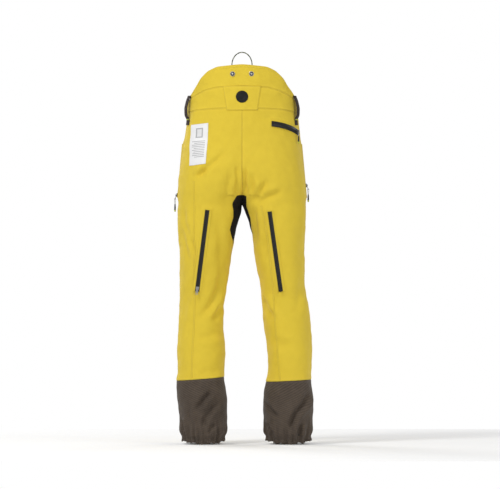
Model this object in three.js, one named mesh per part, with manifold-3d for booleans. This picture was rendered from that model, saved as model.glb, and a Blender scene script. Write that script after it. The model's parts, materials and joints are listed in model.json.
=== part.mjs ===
// High-back protective work trousers, modelled as they hang when worn: hips, two thighs and two lower legs,
// sewn from fabric panels with zips, webbing belt loops, press studs, a hang loop and elasticated gaiters.
// Millimetres. The origin is the centre of the waist at the belt line, +Z is up, the wearer faces -Y and the
// wearer's left is +X. Fabric panels are thin curved plates that follow one body shape; every piece that lies
// on the cloth is placed on that same shape, so a change of a size carries the pieces with it.
import * as THREE from 'three';
import { LoftGeometry } from 'three/addons/geometries/LoftGeometry.js';
import { mergeVertices } from 'three/addons/utils/BufferGeometryUtils.js';
import Module from 'manifold-3d';

// Driving sizes
const RISE = 325; // belt line to crotch
const INSEAM = 790; // crotch to hem
const BACK_RISE = 133; // belt line to the top of the high back
const FRONT_RISE = 14; // belt line to the top of the front waistband
const FABRIC = 3; // shell fabric with its lining
const SEAM_GAP = 0.8; // between two panels at a seam
const LAID = 1.2; // clearance under a piece that lies on the fabric
const ROUNDNESS = 2.2; // section shape: 2 is an ellipse, more is boxier

const CROTCH_Z = -RISE;
const HEM_Z = CROTCH_Z - INSEAM;

// The body's shape, as sections down each side: [share of the rise or of the inseam, leg axis off centre,
// half-width, leg axis towards the back, half-depth]. Above the crotch the two sides share the centre plane.
const TORSO = [
  [-0.42, 0, 172, 4, 113],
  [0, 0, 180, 0, 118],
  [0.23, 18, 168, 3, 122],
  [0.45, 42, 154, 6, 126],
  [0.62, 62, 141, 8, 127],
  [0.76, 80, 128, 7, 124],
  [0.88, 94, 116, 5, 119],
  [1, 105.5, 105.6, 2, 113],
];
const LEFT_LEG = [
  [0.03, 107.5, 104, 2, 111],
  [0.115, 116, 94.5, 1, 107],
  [0.22, 120, 85, -2, 101],
  [0.34, 127.5, 77.5, -6, 94],
  [0.42, 131.5, 73.5, -8, 89],
  [0.52, 135.5, 75.5, -7, 86],
  [0.6, 135, 78.5, -3, 87],
  [0.7, 135.5, 77, 2, 88],
  [0.74, 136, 80.5, 4, 89],
  [0.8, 132, 83, 5, 92],
  [0.87, 128.5, 81.5, 5, 91],
  [0.96, 126.5, 76.5, 4, 84],
  [1, 126.5, 70, 4, 76],
];
const RIGHT_LEG = [
  [0.03, 111, 100.5, 2, 111],
  [0.115, 120, 89, 1, 107],
  [0.22, 124, 82, -2, 101],
  [0.34, 134.5, 74, -6, 94],
  [0.42, 143, 76, -8, 89],
  [0.52, 149.5, 77, -7, 86],
  [0.6, 155, 74, -3, 87],
  [0.7, 156, 71.5, 2, 88],
  [0.74, 153, 76.5, 4, 89],
  [0.8, 152.5, 83.5, 5, 92],
  [0.87, 152, 84, 5, 91],
  [0.96, 154, 77, 4, 84],
  [1, 154.5, 73, 4, 76],
];

// Where the rigid bodies part: cylinders round the hip and knee axes, which run along X
const HIP = { y: 4, z: CROTCH_Z + 110, radius: 141 };
const KNEE = { y: -7, z: CROTCH_Z - INSEAM * 0.463, radius: 126 };
const BODY_GAP = 2; // between two bodies at a hip or knee

// Waistband, riser and badge
const BAND_BOTTOM = { back: -11, side: -31 };
const BAND_TOP = [[0, 14], [0.2, 19], [0.42, 36], [0.58, 49], [0.72, 57], [1, 61]];
const RISER_TOP = [[0, 15], [0.17, 27], [0.36, 62], [0.46, 87], [0.58, 111], [0.71, 125], [1, BACK_RISE]];
const RISER_END = 0.2; // the riser tapers out this far from the side seam, as a share of the half waist
const BADGE = { top: 62, bottom: -12, topHalf: 63, bottomHalf: 52, thickness: 2.4 };
const EMBLEM = { z: 26, radius: 20, thickness: 1 };
const BRACE_STUD = { x: 31, z: 101, radius: 8.2, post: 2.8, height: 3.6 };
const HANG_LOOP = { halfSpan: 33, height: 41, diameter: 3.5 };

// Gussets on the inner legs: depth of the back and front edge at a height, [share of the inseam, y]
const GUSSET_HALF = 58;
const GUSSET_TIP = 0.178;
const GUSSET_CLOTH = { thickness: 2, under: 4.6, lap: 6 }; // set in under the panels, with a lapped seam
const GUSSET_EDGES = {
  1: { back: [[0.02, GUSSET_HALF], [0.07, 72], [0.115, 68], [GUSSET_TIP, 26]],
    front: [[0.02, -GUSSET_HALF], [0.05, -50], [0.115, -30], [GUSSET_TIP, 22]] },
  [-1]: { back: [[0.02, GUSSET_HALF], [0.05, 46], [0.115, 28], [GUSSET_TIP, -22]],
    front: [[0.02, -GUSSET_HALF], [0.07, -72], [0.115, -68], [GUSSET_TIP, -26]] },
};

// Gaiters: where they start at the outer and the inner side, as shares of the inseam, and the hem elastic
const GAITER_TOP = { 1: { outer: 0.736, inner: 0.72 }, [-1]: { outer: 0.731, inner: 0.74 } };
const ELASTIC = { width: 22, thickness: 1.6, clearance: 1, rise: 4 };

// Zips: tape width and thickness, and the runs of each zip as [x off centre, height]
const TAPE = { width: 15, thickness: 1.3 };
const VENT_RUN = { 1: [[113, -345], [147, -612]], [-1]: [[91, -350], [128, -612]] };
const VENT_SLIDER_AT = { 1: 0.965, [-1]: 0.93 };
const REAR_RUN = { from: 96, to: 184, z: -63, fall: 0.4, width: 17, lift: 2.4 };
const HAND_RUN = { u: -0.09, top: -128, bottom: -305, width: 12 };
const HAND_SLIDER_AT = { 1: 0.95, [-1]: 0.77 };
const FLY = { top: 4, bottom: -178, width: 46, flapLift: 15, tapeWidth: 13, tapeLift: 3.4 };
const SLIDER = { length: 13, width: 10, wedge: 7, thickness: 2.6, lift: 0.9 };
const BRIDGE = { length: 8, height: 4.3, width: 2, wall: 1.3 };
const TAB = { length: 20, width: 7.5, thickness: 1.2, play: 0.7, bar: 1.2, endBar: 1.6, eye: 4 };
const TOGGLE = { radius: 2.8, length: 25, cord: 0.75, bend: 2.25, drop: 17 };

// Webbing belt loops, seen from the side: bulge off the cloth, and the bar tack heights
const LOOP = { u: 0.2, width: 21, thickness: 2.4, top: 30, tack: -47, end: -66, bulge: 12 };
const FRONT_LOOP = { u: -0.78, width: 19, thickness: 2, top: 9, tack: -50, end: -56, bulge: 12 };

const LABEL = { left: 167, right: 112, top: -66, bottom: -200, thickness: 0.7 };
const PAD = { thickness: 6, clearance: 3.5 };
const POCKET_BAG = { thickness: 1.5, clearance: 2.5 };

const COLOUR = {
  shell: 0xd9bd3f, gaiter: 0x4c4138, gusset: 0x0f0d0d, tape: 0x222120, metal: 0xb9b9bd,
  webbing: 0x3a2f2b, label: 0xeeeeee, lining: 0xcfc9bb, cord: 0x3a4034, elastic: 0x222222,
};

const wasm = await Module();
wasm.setup();

const { mapLinear, lerp, clamp } = THREE.MathUtils;

// Straight runs between [at, value] points, in rising order of "at".
function along(points, at) {
  const next = Math.max(1, points.findIndex(([place]) => place >= at));
  const upper = at > points.at(-1)[0] ? points.length - 1 : next;
  const [[a, va], [b, vb]] = [points[upper - 1], points[upper]];
  return mapLinear(clamp(at, a, b), a, b, va, vb);
}

// The shape of one side of the body, from the top of the back to the hem.
function bodyProfile(leg) {
  const rows = [
    ...TORSO.map(([share, ...size]) => [-share * RISE, ...size]),
    ...leg.map(([share, ...size]) => [CROTCH_Z - share * INSEAM, ...size]),
  ].reverse();
  return new THREE.CubicInterpolant(rows.map(([z]) => z), rows.flatMap(([, ...size]) => size), 4);
}
const PROFILE = { 1: bodyProfile(LEFT_LEG), [-1]: bodyProfile(RIGHT_LEG) };

const rounded = (v) => Math.sign(v) * Math.abs(v) ** (2 / ROUNDNESS);

function sectionAt(side, z) {
  const [offset, width, middle, depth] = PROFILE[side].evaluate(z);
  const centre = Math.max(0, offset);
  const meets = centre < width; // the section reaches the centre plane, above the crotch
  const reach = meets ? Math.acos(-((centre / width) ** (ROUNDNESS / 2))) : Math.PI;
  return { centre, width, middle, depth, reach };
}

// A point of the fabric's outer face. side is 1 for the wearer's left and -1 for the right; u runs from -1 at
// the front centre or inseam, over 0 at the outer side, to 1 at the back centre or inseam.
function onCloth(side, u, z) {
  const { centre, width, middle, depth, reach } = sectionAt(side, z);
  const x = centre + width * rounded(Math.cos(u * reach));
  const y = middle + depth * rounded(Math.sin(u * reach));
  return new THREE.Vector3(side * x, y, z);
}

function clothNormal(side, u, z) {
  const du = 0.01;
  const dz = 2;
  const open = sectionAt(side, z).reach < Math.PI;
  const [u0, u1] = open ? [Math.max(-1, u - du), Math.min(1, u + du)] : [u - du, u + du];
  const round = onCloth(side, u1, z).sub(onCloth(side, u0, z));
  const up = onCloth(side, u, z + dz).sub(onCloth(side, u, z - dz));
  return round.cross(up).multiplyScalar(side).normalize();
}

const lifted = (side, u, z, lift) => onCloth(side, u, z).addScaledVector(clothNormal(side, u, z), lift);

// The u of the back face's point at a distance x off the centre plane.
function uOnBack(side, x, z) {
  const { centre, width, reach } = sectionAt(side, z);
  const share = clamp((x - centre) / width, -1, 1);
  return Math.acos(Math.sign(share) * Math.abs(share) ** (ROUNDNESS / 2)) / reach;
}

// The u of the inner leg's point at a depth y.
function uOnInnerLeg(side, y, z) {
  const { middle, depth, reach } = sectionAt(side, z);
  const share = clamp((y - middle) / depth, -1, 1);
  const angle = Math.PI - Math.asin(Math.abs(share) ** (ROUNDNESS / 2));
  return (share < 0 ? -1 : 1) * Math.min(1, angle / reach);
}

// A shift of u that moves a point by a distance round the section.
function uStep(side, u, z, distance) {
  const probe = 0.01;
  return (distance * 2 * probe) / onCloth(side, u + probe, z).distanceTo(onCloth(side, u - probe, z));
}

// Height of the body's cut round a hip or knee axis, at u.
function cutHeight(side, u, joint, offset) {
  let z = joint.z - joint.radius;
  for (let pass = 0; pass < 12; pass++) {
    const y = onCloth(side, u, z).y - joint.y;
    z = joint.z - Math.sqrt(Math.max(0, (joint.radius + offset) ** 2 - y * y));
  }
  return z;
}

function solidOf(geometry) {
  const bare = geometry.clone();
  bare.deleteAttribute('normal');
  bare.deleteAttribute('uv');
  const merged = mergeVertices(bare, 1e-3);
  return new wasm.Manifold(new wasm.Mesh({
    numProp: 3,
    vertProperties: new Float32Array(merged.attributes.position.array),
    triVerts: new Uint32Array(merged.index.array),
  }));
}

function geometryOf(solid) {
  const { vertProperties, triVerts } = solid.getMesh();
  const geometry = new THREE.BufferGeometry();
  geometry.setAttribute('position', new THREE.BufferAttribute(vertProperties, 3));
  geometry.setIndex(new THREE.BufferAttribute(triVerts, 1));
  geometry.computeVertexNormals();
  return geometry;
}

const joined = (...parts) => geometryOf(parts.map(solidOf).reduce((whole, part) => whole.add(part)));

// A solid loft through closed sections, turned so that its faces point out.
function loft(sections) {
  const make = (rings) => new LoftGeometry(rings, { capStart: true, capEnd: true });
  const made = make(sections);
  return signedVolume(made) > 0 ? made : make(sections.map((ring) => [...ring].reverse()));
}

function signedVolume(geometry) {
  const corner = [0, 1, 2].map(() => new THREE.Vector3());
  const { position } = geometry.attributes;
  let sum = 0;
  for (let i = 0; i < geometry.index.count; i += 3) {
    corner.forEach((c, k) => c.fromBufferAttribute(position, geometry.index.getX(i + k)));
    sum += corner[0].dot(corner[1].clone().cross(corner[2]));
  }
  return sum;
}

// A curved plate between an outer and an inner grid of points, closed by its rims. A ring joins its last
// column to its first.
function shell(columns, rows, outerAt, innerAt, ring = false) {
  const vertices = [];
  for (let i = 0; i <= columns - (ring ? 1 : 0); i++) {
    for (const at of [outerAt, innerAt]) {
      for (let j = 0; j <= rows; j++) vertices.push(...at(i / columns, j / rows));
    }
  }
  const outer = (i, j) => (ring ? i % columns : i) * 2 * (rows + 1) + j;
  const inner = (i, j) => outer(i, j) + rows + 1;
  const indices = [];
  const quad = (a, b, c, d) => indices.push(a, b, c, a, c, d);
  for (let i = 0; i < columns; i++) {
    for (let j = 0; j < rows; j++) {
      quad(outer(i, j), outer(i, j + 1), outer(i + 1, j + 1), outer(i + 1, j));
      quad(inner(i, j), inner(i + 1, j), inner(i + 1, j + 1), inner(i, j + 1));
    }
    quad(outer(i, 0), outer(i + 1, 0), inner(i + 1, 0), inner(i, 0));
    quad(outer(i, rows), inner(i, rows), inner(i + 1, rows), outer(i + 1, rows));
  }
  for (let j = 0; j < rows && !ring; j++) {
    quad(outer(0, j), inner(0, j), inner(0, j + 1), outer(0, j + 1));
    quad(outer(columns, j), outer(columns, j + 1), inner(columns, j + 1), inner(columns, j));
  }
  const geometry = new THREE.BufferGeometry();
  geometry.setAttribute('position', new THREE.Float32BufferAttribute(vertices, 3));
  geometry.setIndex(indices);
  if (signedVolume(geometry) < 0) geometry.setIndex(indices.reverse());
  geometry.computeVertexNormals();
  return geometry;
}

// A plate of cloth: place(a, b) gives {side, u, z} with a across and b down, both 0 to 1. lift is how far its
// inner face stands off the fabric's outer face. An end in "cuts" is trimmed to a hip or knee cylinder.
function plate({ place, columns, rows, lift, thickness, ring = false, cuts = {} }) {
  const at = (height) => (a, b) => {
    const { side, u, z } = place(a, b);
    const point = lifted(side, u, z, height);
    const cut = cuts[b];
    return cut ? trimmed(point, ...cut) : point;
  };
  return shell(columns, rows, at(lift + thickness), at(lift), ring);
}

function trimmed(point, joint, offset) {
  return point.setZ(joint.z - Math.sqrt((joint.radius + offset) ** 2 - (point.y - joint.y) ** 2));
}

// A body panel between two u limits (functions of z) and two heights (functions of u).
function panelPlace(side, across, down) {
  return (a, b) => {
    let z = CROTCH_Z;
    let u = 0;
    for (let pass = 0; pass < 10; pass++) {
      u = lerp(across[0](z), across[1](z), a);
      z = lerp(down[0](u), down[1](u), b);
    }
    return { side, u, z };
  };
}

// A flat strip along a run of the cloth.
function ribbon(run, { width, thickness, lift }) {
  const sections = run.map(({ point, normal, across }) => {
    const corner = (w, h) => point.clone().addScaledVector(across, w).addScaledVector(normal, h);
    return [
      corner(-width / 2, lift), corner(width / 2, lift),
      corner(width / 2, lift + thickness), corner(-width / 2, lift + thickness),
    ];
  });
  return loft(sections);
}

// The cloth's frame at a place, with the direction to the next place along a run.
function frameAt(place, next) {
  const point = onCloth(place.side, place.u, place.z);
  const out = clothNormal(place.side, place.u, place.z);
  const along = onCloth(next.side, next.u, next.z).sub(point).normalize();
  const across = along.clone().cross(out).normalize();
  return { place, point, along, across, normal: across.clone().cross(along) };
}

// A straight run from the first place to the last, far enough off the cloth to clear all of it between.
function straightRun(places) {
  const points = places.map(({ side, u, z }) => onCloth(side, u, z));
  const middle = frameAt(places[Math.floor(places.length / 2)], places.at(-1));
  const along = points.at(-1).clone().sub(points[0]).normalize();
  const across = along.clone().cross(middle.normal).normalize();
  const normal = across.clone().cross(along);
  const rise = Math.max(...points.map((point) => point.clone().sub(points[0]).dot(normal)));
  return places.map((place, i) => {
    const share = points[i].clone().sub(points[0]).dot(along);
    const point = points[0].clone().addScaledVector(along, share).addScaledVector(normal, rise);
    return { place, point, along, across, normal };
  });
}

// A run on the circle through the first, middle and last place, clear of the cloth all along.
function arcRun(places) {
  const points = places.map(({ side, u, z }) => onCloth(side, u, z));
  const [a, b, c] = [points[0], points[Math.floor(points.length / 2)], points.at(-1)];
  const [ab, ac] = [b.clone().sub(a), c.clone().sub(a)];
  const axis = ab.clone().cross(ac).normalize();
  const twist = 2 * ab.clone().cross(ac).lengthSq();
  const centre = a.clone()
    .addScaledVector(ab.clone().cross(ac).cross(ab), ac.lengthSq() / twist)
    .addScaledVector(ac.clone().cross(ab.clone().cross(ac)), ab.lengthSq() / twist);
  const spoke = (point) => point.clone().sub(centre).projectOnPlane(axis);
  const radius = Math.max(...points.map((point) => spoke(point).length()));
  return places.map((place, i) => {
    const normal = spoke(points[i]).normalize();
    const along = axis.clone().cross(normal);
    const point = centre.clone().addScaledVector(normal, radius);
    return { place, point, along, across: along.clone().cross(normal), normal, centre, axis };
  });
}

const steps = (count, place) => Array.from({ length: count + 1 }, (_, i) => place(i / count));

const root = new THREE.Group();

function material(colour, metal = false) {
  return new THREE.MeshStandardMaterial({
    color: colour, roughness: metal ? 0.35 : 0.85, metalness: metal ? 0.9 : 0,
  });
}

function add(name, geometry, colour, metal = false, parent = root) {
  const mesh = new THREE.Mesh(geometry, material(colour, metal));
  mesh.name = name;
  parent.add(mesh);
  return mesh;
}

const SIDES = [[1, 'left'], [-1, 'right']];
const half = SEAM_GAP / 2;

// ---- Fabric panels of the hips -------------------------------------------------------------------------

const bandBottom = (u) => {
  const drop = u > 0 ? 1 - (1 - u) ** 2 : 0;
  return lerp(BAND_BOTTOM.side, BAND_BOTTOM.back, drop);
};

function gussetEdge(side, edge, z) {
  return along(GUSSET_EDGES[side][edge], (CROTCH_Z - z) / INSEAM);
}

// The panel edge beside the gusset, or the centre seam above it, as u.
function innerEdge(side, edge, z) {
  const sign = edge === 'back' ? 1 : -1;
  const u = uOnInnerLeg(side, gussetEdge(side, edge, z) + sign * SEAM_GAP, z);
  const wrapped = Math.sign(u) === sign ? u : u + 2 * sign;
  const closes = wrapped * sign >= 1 && sectionAt(side, z).reach < Math.PI;
  return closes ? sign - sign * uStep(side, 0.98 * sign, z, half) : wrapped;
}

for (const [side, name] of SIDES) {
  const outer = (sign) => (z) => sign * uStep(side, 0, z, half);
  const top = (u) => bandBottom(u) - half;
  const bottom = (u) => cutHeight(side, u, HIP, -BODY_GAP / 2);
  const cuts = { 1: [HIP, -BODY_GAP / 2] };
  add(`seat_${name}`, plate({
    place: panelPlace(side, [outer(1), (z) => innerEdge(side, 'back', z)], [top, bottom]),
    columns: 14, rows: 11, lift: -FABRIC, thickness: FABRIC, cuts,
  }), COLOUR.shell);
  add(`hip_front_${name}`, plate({
    place: panelPlace(side, [(z) => innerEdge(side, 'front', z), outer(-1)], [top, bottom]),
    columns: 14, rows: 11, lift: -FABRIC, thickness: FABRIC, cuts,
  }), COLOUR.shell);
}

// The crotch gusset is a saddle between the legs: each section runs up the left inner leg and down the right.
function saddle() {
  const reach = GUSSET_HALF + GUSSET_CLOTH.lap;
  const ridgeAt = (y) => {
    let [low, high] = [CROTCH_Z - 30, CROTCH_Z + RISE * 0.5];
    for (let pass = 0; pass < 30; pass++) {
      const z = (low + high) / 2;
      const { centre, width, middle, depth } = sectionAt(1, z);
      const bulge = Math.max(0, 1 - Math.abs((y - middle) / depth) ** ROUNDNESS);
      if (centre - width * bulge ** (1 / ROUNDNESS) > 0) low = z;
      else high = z;
    }
    return (low + high) / 2;
  };
  const at = (height) => (a, b) => {
    const y = lerp(reach, -reach, a);
    const ridge = ridgeAt(y);
    const share = Math.abs(2 * b - 1);
    if (share < 1e-6) return new THREE.Vector3(0, y, ridge - height);
    const side = b < 0.5 ? 1 : -1;
    let z = ridge;
    for (let pass = 0; pass < 8; pass++) {
      z = lerp(ridge, cutHeight(side, uOnInnerLeg(side, y, z), HIP, -BODY_GAP / 2), share);
    }
    const point = lifted(side, uOnInnerLeg(side, y, z), z, height);
    return share === 1 ? trimmed(point, HIP, -BODY_GAP / 2) : point;
  };
  const top = -FABRIC - GUSSET_CLOTH.under;
  return shell(12, 8, at(top), at(top - GUSSET_CLOTH.thickness));
}
add('crotch_gusset', saddle(), COLOUR.gusset);

// ---- Waistband, riser, badge ---------------------------------------------------------------------------

// A place on the back, by a signed share of the half waist from the back centre: 1 is the left side seam.
const onBack = (share, z) => ({ side: share < 0 ? -1 : 1, u: 1 - Math.abs(share), z });
const uAtShare = (share) => 1 - Math.abs(share);

add('waistband_back', plate({
  place: (a, b) => {
    const share = lerp(-1, 1, a) * (1 - uStep(1, 0, 0, half));
    const u = uAtShare(share);
    return onBack(share, lerp(along(BAND_TOP, u) - half, bandBottom(u) + half, b));
  },
  columns: 28, rows: 2, lift: -FABRIC, thickness: FABRIC,
}), COLOUR.shell);

for (const [side, name] of SIDES) {
  const place = (a, b) => {
    const u = lerp(-1 + uStep(side, -0.98, 0, half), -uStep(side, 0, 0, half), a);
    return { side, u, z: lerp(FRONT_RISE, BAND_BOTTOM.side + half, b) };
  };
  const band = plate({ place, columns: 14, rows: 2, lift: -FABRIC, thickness: FABRIC });
  add(`waistband_front_${name}`, band, COLOUR.shell);
}

const riserTop = (u) => along(RISER_TOP, u);
add('back_riser', plate({
  place: (a, b) => {
    const share = lerp(-1, 1, a) * (1 - RISER_END);
    const u = uAtShare(share);
    return onBack(share, lerp(riserTop(u), along(BAND_TOP, u) + half, b));
  },
  columns: 26, rows: 3, lift: -FABRIC, thickness: FABRIC,
}), COLOUR.shell);

const backPlace = (x, z) => ({ side: x < 0 ? -1 : 1, u: uOnBack(x < 0 ? -1 : 1, Math.abs(x), z), z });
add('badge_panel', plate({
  place: (a, b) => backPlace(
    lerp(-1, 1, a) * lerp(BADGE.topHalf, BADGE.bottomHalf, b), lerp(BADGE.top, BADGE.bottom, b),
  ),
  columns: 10, rows: 3, lift: LAID, thickness: BADGE.thickness,
}), COLOUR.shell);
const badgeFace = LAID + BADGE.thickness;

add('badge_emblem', plate({
  place: (a, b) => {
    const x = EMBLEM.radius * 0.97 * lerp(-1, 1, a);
    return backPlace(x, EMBLEM.z + Math.sqrt(EMBLEM.radius ** 2 - x * x) * lerp(1, -1, b));
  },
  columns: 10, rows: 2, lift: badgeFace + 0.5, thickness: EMBLEM.thickness,
}), COLOUR.gusset);

// Places a mesh on a frame of the cloth: its Z out of the cloth and its Y along the run.
function seat(object, { point, normal, along: forward, across }, lift) {
  object.quaternion.setFromRotationMatrix(new THREE.Matrix4().makeBasis(across, forward, normal));
  object.position.copy(point).addScaledVector(normal, lift);
  return object;
}

// A press stud: a rolled flange with a post in its middle, turned round Z.
function studGeometry({ radius, post, height }) {
  const profile = [
    [0, 0], [radius, 0], [radius, 0.9], [radius - 1.2, 1.9], [radius - 2.6, 1.5], [post + 0.9, 0.9],
    [post, 1.1], [post * 0.82, height * 0.6], [post, height - 0.6], [post - 0.4, height], [0, height],
  ].map(([r, z]) => new THREE.Vector2(r, z));
  return new THREE.LatheGeometry(profile, 16).rotateX(Math.PI / 2);
}

for (const [side, name] of SIDES) {
  const place = backPlace(side * BRACE_STUD.x, BRACE_STUD.z);
  const frame = frameAt(place, { ...place, z: place.z - 1 });
  seat(add(`brace_stud_${name}`, studGeometry(BRACE_STUD), COLOUR.metal, true), frame, LAID);
}

// The hang loop stands in an arch on the top edge of the riser.
const loopFoot = onCloth(1, uOnBack(1, HANG_LOOP.halfSpan, BACK_RISE), BACK_RISE);
const loopBase = riserTop(uOnBack(1, HANG_LOOP.halfSpan, BACK_RISE)) + 0.4;
const loopDepth = loopFoot.y - FABRIC / 2;
const loopCurve = new THREE.CatmullRomCurve3(steps(12, (t) => new THREE.Vector3(
  HANG_LOOP.halfSpan * Math.cos(Math.PI * t), loopDepth, loopBase + HANG_LOOP.height * Math.sin(Math.PI * t),
)));
const cordSection = new THREE.Shape(steps(7, (t) => new THREE.Vector2(
  (HANG_LOOP.diameter / 2) * Math.cos((Math.PI * 7 * t) / 4),
  (HANG_LOOP.diameter / 2) * Math.sin((Math.PI * 7 * t) / 4),
)));
const loopArch = new THREE.ExtrudeGeometry(cordSection, { extrudePath: loopCurve, steps: 18, curveSegments: 8 });
add('hang_loop', loopArch, COLOUR.cord);

// ---- Belt loops ----------------------------------------------------------------------------------------

// A webbing strip, drawn in side view and extruded over its width: sewn flat at its ends, free between.
function beltLoop(name, side, u, size) {
  const mid = { side, u, z: (size.top + size.tack) / 2 };
  const middle = onCloth(side, u, mid.z);
  const normal = clothNormal(side, u, mid.z).setZ(0).normalize();
  const away = (z) => onCloth(side, u, z).sub(middle).dot(normal) + LAID;
  const crown = lerp(size.top, size.tack, 0.52);
  const line = [
    [away(size.top), size.top],
    [away(lerp(size.top, crown, 0.35)) + size.bulge * 0.55, lerp(size.top, crown, 0.4)],
    [away(crown) + size.bulge, crown], [away(size.tack) + size.bulge * 0.62, lerp(crown, size.tack, 0.7)],
    [away(size.tack), size.tack], [away(size.end), size.end],
  ];
  const outline = new THREE.Shape([
    ...line.map(([out, z]) => new THREE.Vector2(out, z)),
    ...line.map(([out, z]) => new THREE.Vector2(out + size.thickness, z)).reverse(),
  ]);
  const strip = new THREE.ExtrudeGeometry(outline, { depth: size.width, bevelEnabled: false });
  strip.translate(0, 0, -size.width / 2);
  const mesh = add(name, strip, COLOUR.webbing);
  const up = new THREE.Vector3(0, 0, 1);
  mesh.quaternion.setFromRotationMatrix(new THREE.Matrix4().makeBasis(normal, up, normal.clone().cross(up)));
  mesh.position.set(middle.x, middle.y, 0);
}
for (const [side, name] of SIDES) {
  beltLoop(`belt_loop_${name}`, side, LOOP.u, LOOP);
  beltLoop(`belt_loop_front_${name}`, side, FRONT_LOOP.u, FRONT_LOOP);
}

// ---- Zips ----------------------------------------------------------------------------------------------

// A slider lies on its tape: a wedge-shaped plate with a bridge that the pull hangs from. Y is along the zip.
function sliderGeometry() {
  const { length, width, wedge, thickness } = SLIDER;
  const outline = new THREE.Shape([
    [-width / 2, -length / 2], [width / 2, -length / 2], [width / 2, 0], [wedge / 2, length / 2],
    [-wedge / 2, length / 2], [-width / 2, 0],
  ].map(([x, y]) => new THREE.Vector2(x, y)));
  const base = new THREE.ExtrudeGeometry(outline, { depth: thickness, bevelEnabled: false });
  const { length: span, height, wall } = BRIDGE;
  const arch = new THREE.Shape([
    [-span / 2, -0.4], [span / 2, -0.4], [span / 2, height * 0.7], [span / 4, height], [-span / 4, height],
    [-span / 2, height * 0.7],
  ].map(([x, y]) => new THREE.Vector2(x, y)));
  arch.holes.push(new THREE.Path([
    [-span / 2 + wall, 0.05], [span / 2 - wall, 0.05],
    [span / 2 - wall, height - wall], [-span / 2 + wall, height - wall],
  ].map(([x, y]) => new THREE.Vector2(x, y))));
  const bridge = new THREE.ExtrudeGeometry(arch, { depth: BRIDGE.width, bevelEnabled: false });
  bridge.translate(0, 0, -BRIDGE.width / 2);
  bridge.applyMatrix4(new THREE.Matrix4().makeBasis(
    new THREE.Vector3(0, 1, 0), new THREE.Vector3(0, 0, 1), new THREE.Vector3(1, 0, 0),
  ));
  bridge.translate(0, 0, thickness);
  return joined(base, bridge);
}

// The pull's hinge, in the slider's frame: its bar lies inside the bridge.
const hingeAt = new THREE.Vector3(0, 0, SLIDER.thickness + (BRIDGE.height - BRIDGE.wall) / 2);

// A flat pull tab about its hinge bar: an opening that clears the bridge, and an eye at its free end.
function tabGeometry(length) {
  const { width, thickness, bar, play } = TAB;
  const opening = BRIDGE.length / 2 + play + bar / 2;
  const corner = width * 0.22;
  const outline = new THREE.Shape([
    [-width / 2, -bar / 2], [width / 2, -bar / 2], [width / 2, length - corner], [width / 2 - corner, length],
    [-width / 2 + corner, length], [-width / 2, length - corner],
  ].map(([x, y]) => new THREE.Vector2(x, y)));
  const window = (x, y0, y1) => {
    const corners = [[-x, y0], [x, y0], [x, y1], [-x, y1]];
    return new THREE.Path(corners.map(([a, b]) => new THREE.Vector2(a, b)));
  };
  outline.holes.push(window(BRIDGE.width / 2 + play / 2, bar / 2, opening));
  outline.holes.push(window(width / 2 - 1.6, length - TAB.endBar - TAB.eye, length - TAB.endBar));
  const tab = new THREE.ExtrudeGeometry(outline, { depth: thickness, bevelEnabled: false });
  return tab.translate(0, 0, -thickness / 2);
}

// A moulded toggle on a doubled cord, hanging along -Z. The cord bends round the bar at the end of the tab.
function toggleGeometry() {
  const { radius, length, cord, bend, drop } = TOGGLE;
  const rounding = steps(4, (t) => [bend * Math.cos(Math.PI * t), bend * Math.sin(Math.PI * t)]);
  const path = new THREE.CatmullRomCurve3([
    [radius * 0.35, -drop - 2], [bend * 0.8, -drop * 0.5], ...rounding,
    [-bend * 0.8, -drop * 0.5], [-radius * 0.35, -drop - 2],
  ].map(([x, z]) => new THREE.Vector3(x, 0, z)));
  const section = new THREE.Shape(steps(5, (t) => new THREE.Vector2(
    cord * Math.cos((Math.PI * 5 * t) / 3), cord * Math.sin((Math.PI * 5 * t) / 3),
  )));
  const loop = new THREE.ExtrudeGeometry(section, { extrudePath: path, steps: 16, curveSegments: 6 });
  const body = new THREE.CapsuleGeometry(radius, length - 2 * radius, 2, 8).rotateX(Math.PI / 2);
  body.translate(0, 0, -drop - length / 2);
  return joined(loop, body);
}

// A slider on a frame of its zip, with its pull. The tab is turned off the cloth by "open" degrees. A toggle
// hangs down from the tab's end bar or, where there is no tab, from the slider's own bridge.
function fitSlider(name, frame, { tapeTop, open = 0, tabLength = 0, toggle = false }) {
  const body = add(`${name}_slider`, sliderGeometry(), COLOUR.metal, true);
  const slider = seat(body, frame, tapeTop + SLIDER.lift);
  slider.updateMatrixWorld(true);
  const eye = new THREE.Vector3(0, 0, SLIDER.thickness + BRIDGE.height - BRIDGE.wall / 2);
  const bar = new THREE.Vector3(0, 1, 0).applyQuaternion(slider.quaternion);
  let holder = slider;
  if (tabLength) {
    holder = add(`${name}_pull`, tabGeometry(tabLength), toggle ? COLOUR.tape : COLOUR.metal, !toggle);
    const swing = THREE.MathUtils.degToRad(open);
    const turn = new THREE.Quaternion().setFromAxisAngle(new THREE.Vector3(1, 0, 0), swing);
    holder.quaternion.copy(slider.quaternion).multiply(turn);
    holder.position.copy(hingeAt).applyMatrix4(slider.matrixWorld);
    holder.updateMatrixWorld(true);
    eye.set(0, tabLength - TAB.endBar / 2, 0);
    bar.set(1, 0, 0).applyQuaternion(holder.quaternion);
  }
  if (!toggle) return;
  eye.applyMatrix4(holder.matrixWorld);
  const bob = add(`${name}_toggle`, toggleGeometry(), COLOUR.tape);
  bob.position.copy(eye);
  const rise = restOn(frame, eye).negate();
  bar.addScaledVector(rise, -bar.dot(rise)).normalize();
  bob.quaternion.setFromRotationMatrix(new THREE.Matrix4().makeBasis(bar.clone().cross(rise), bar, rise));
}

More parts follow.
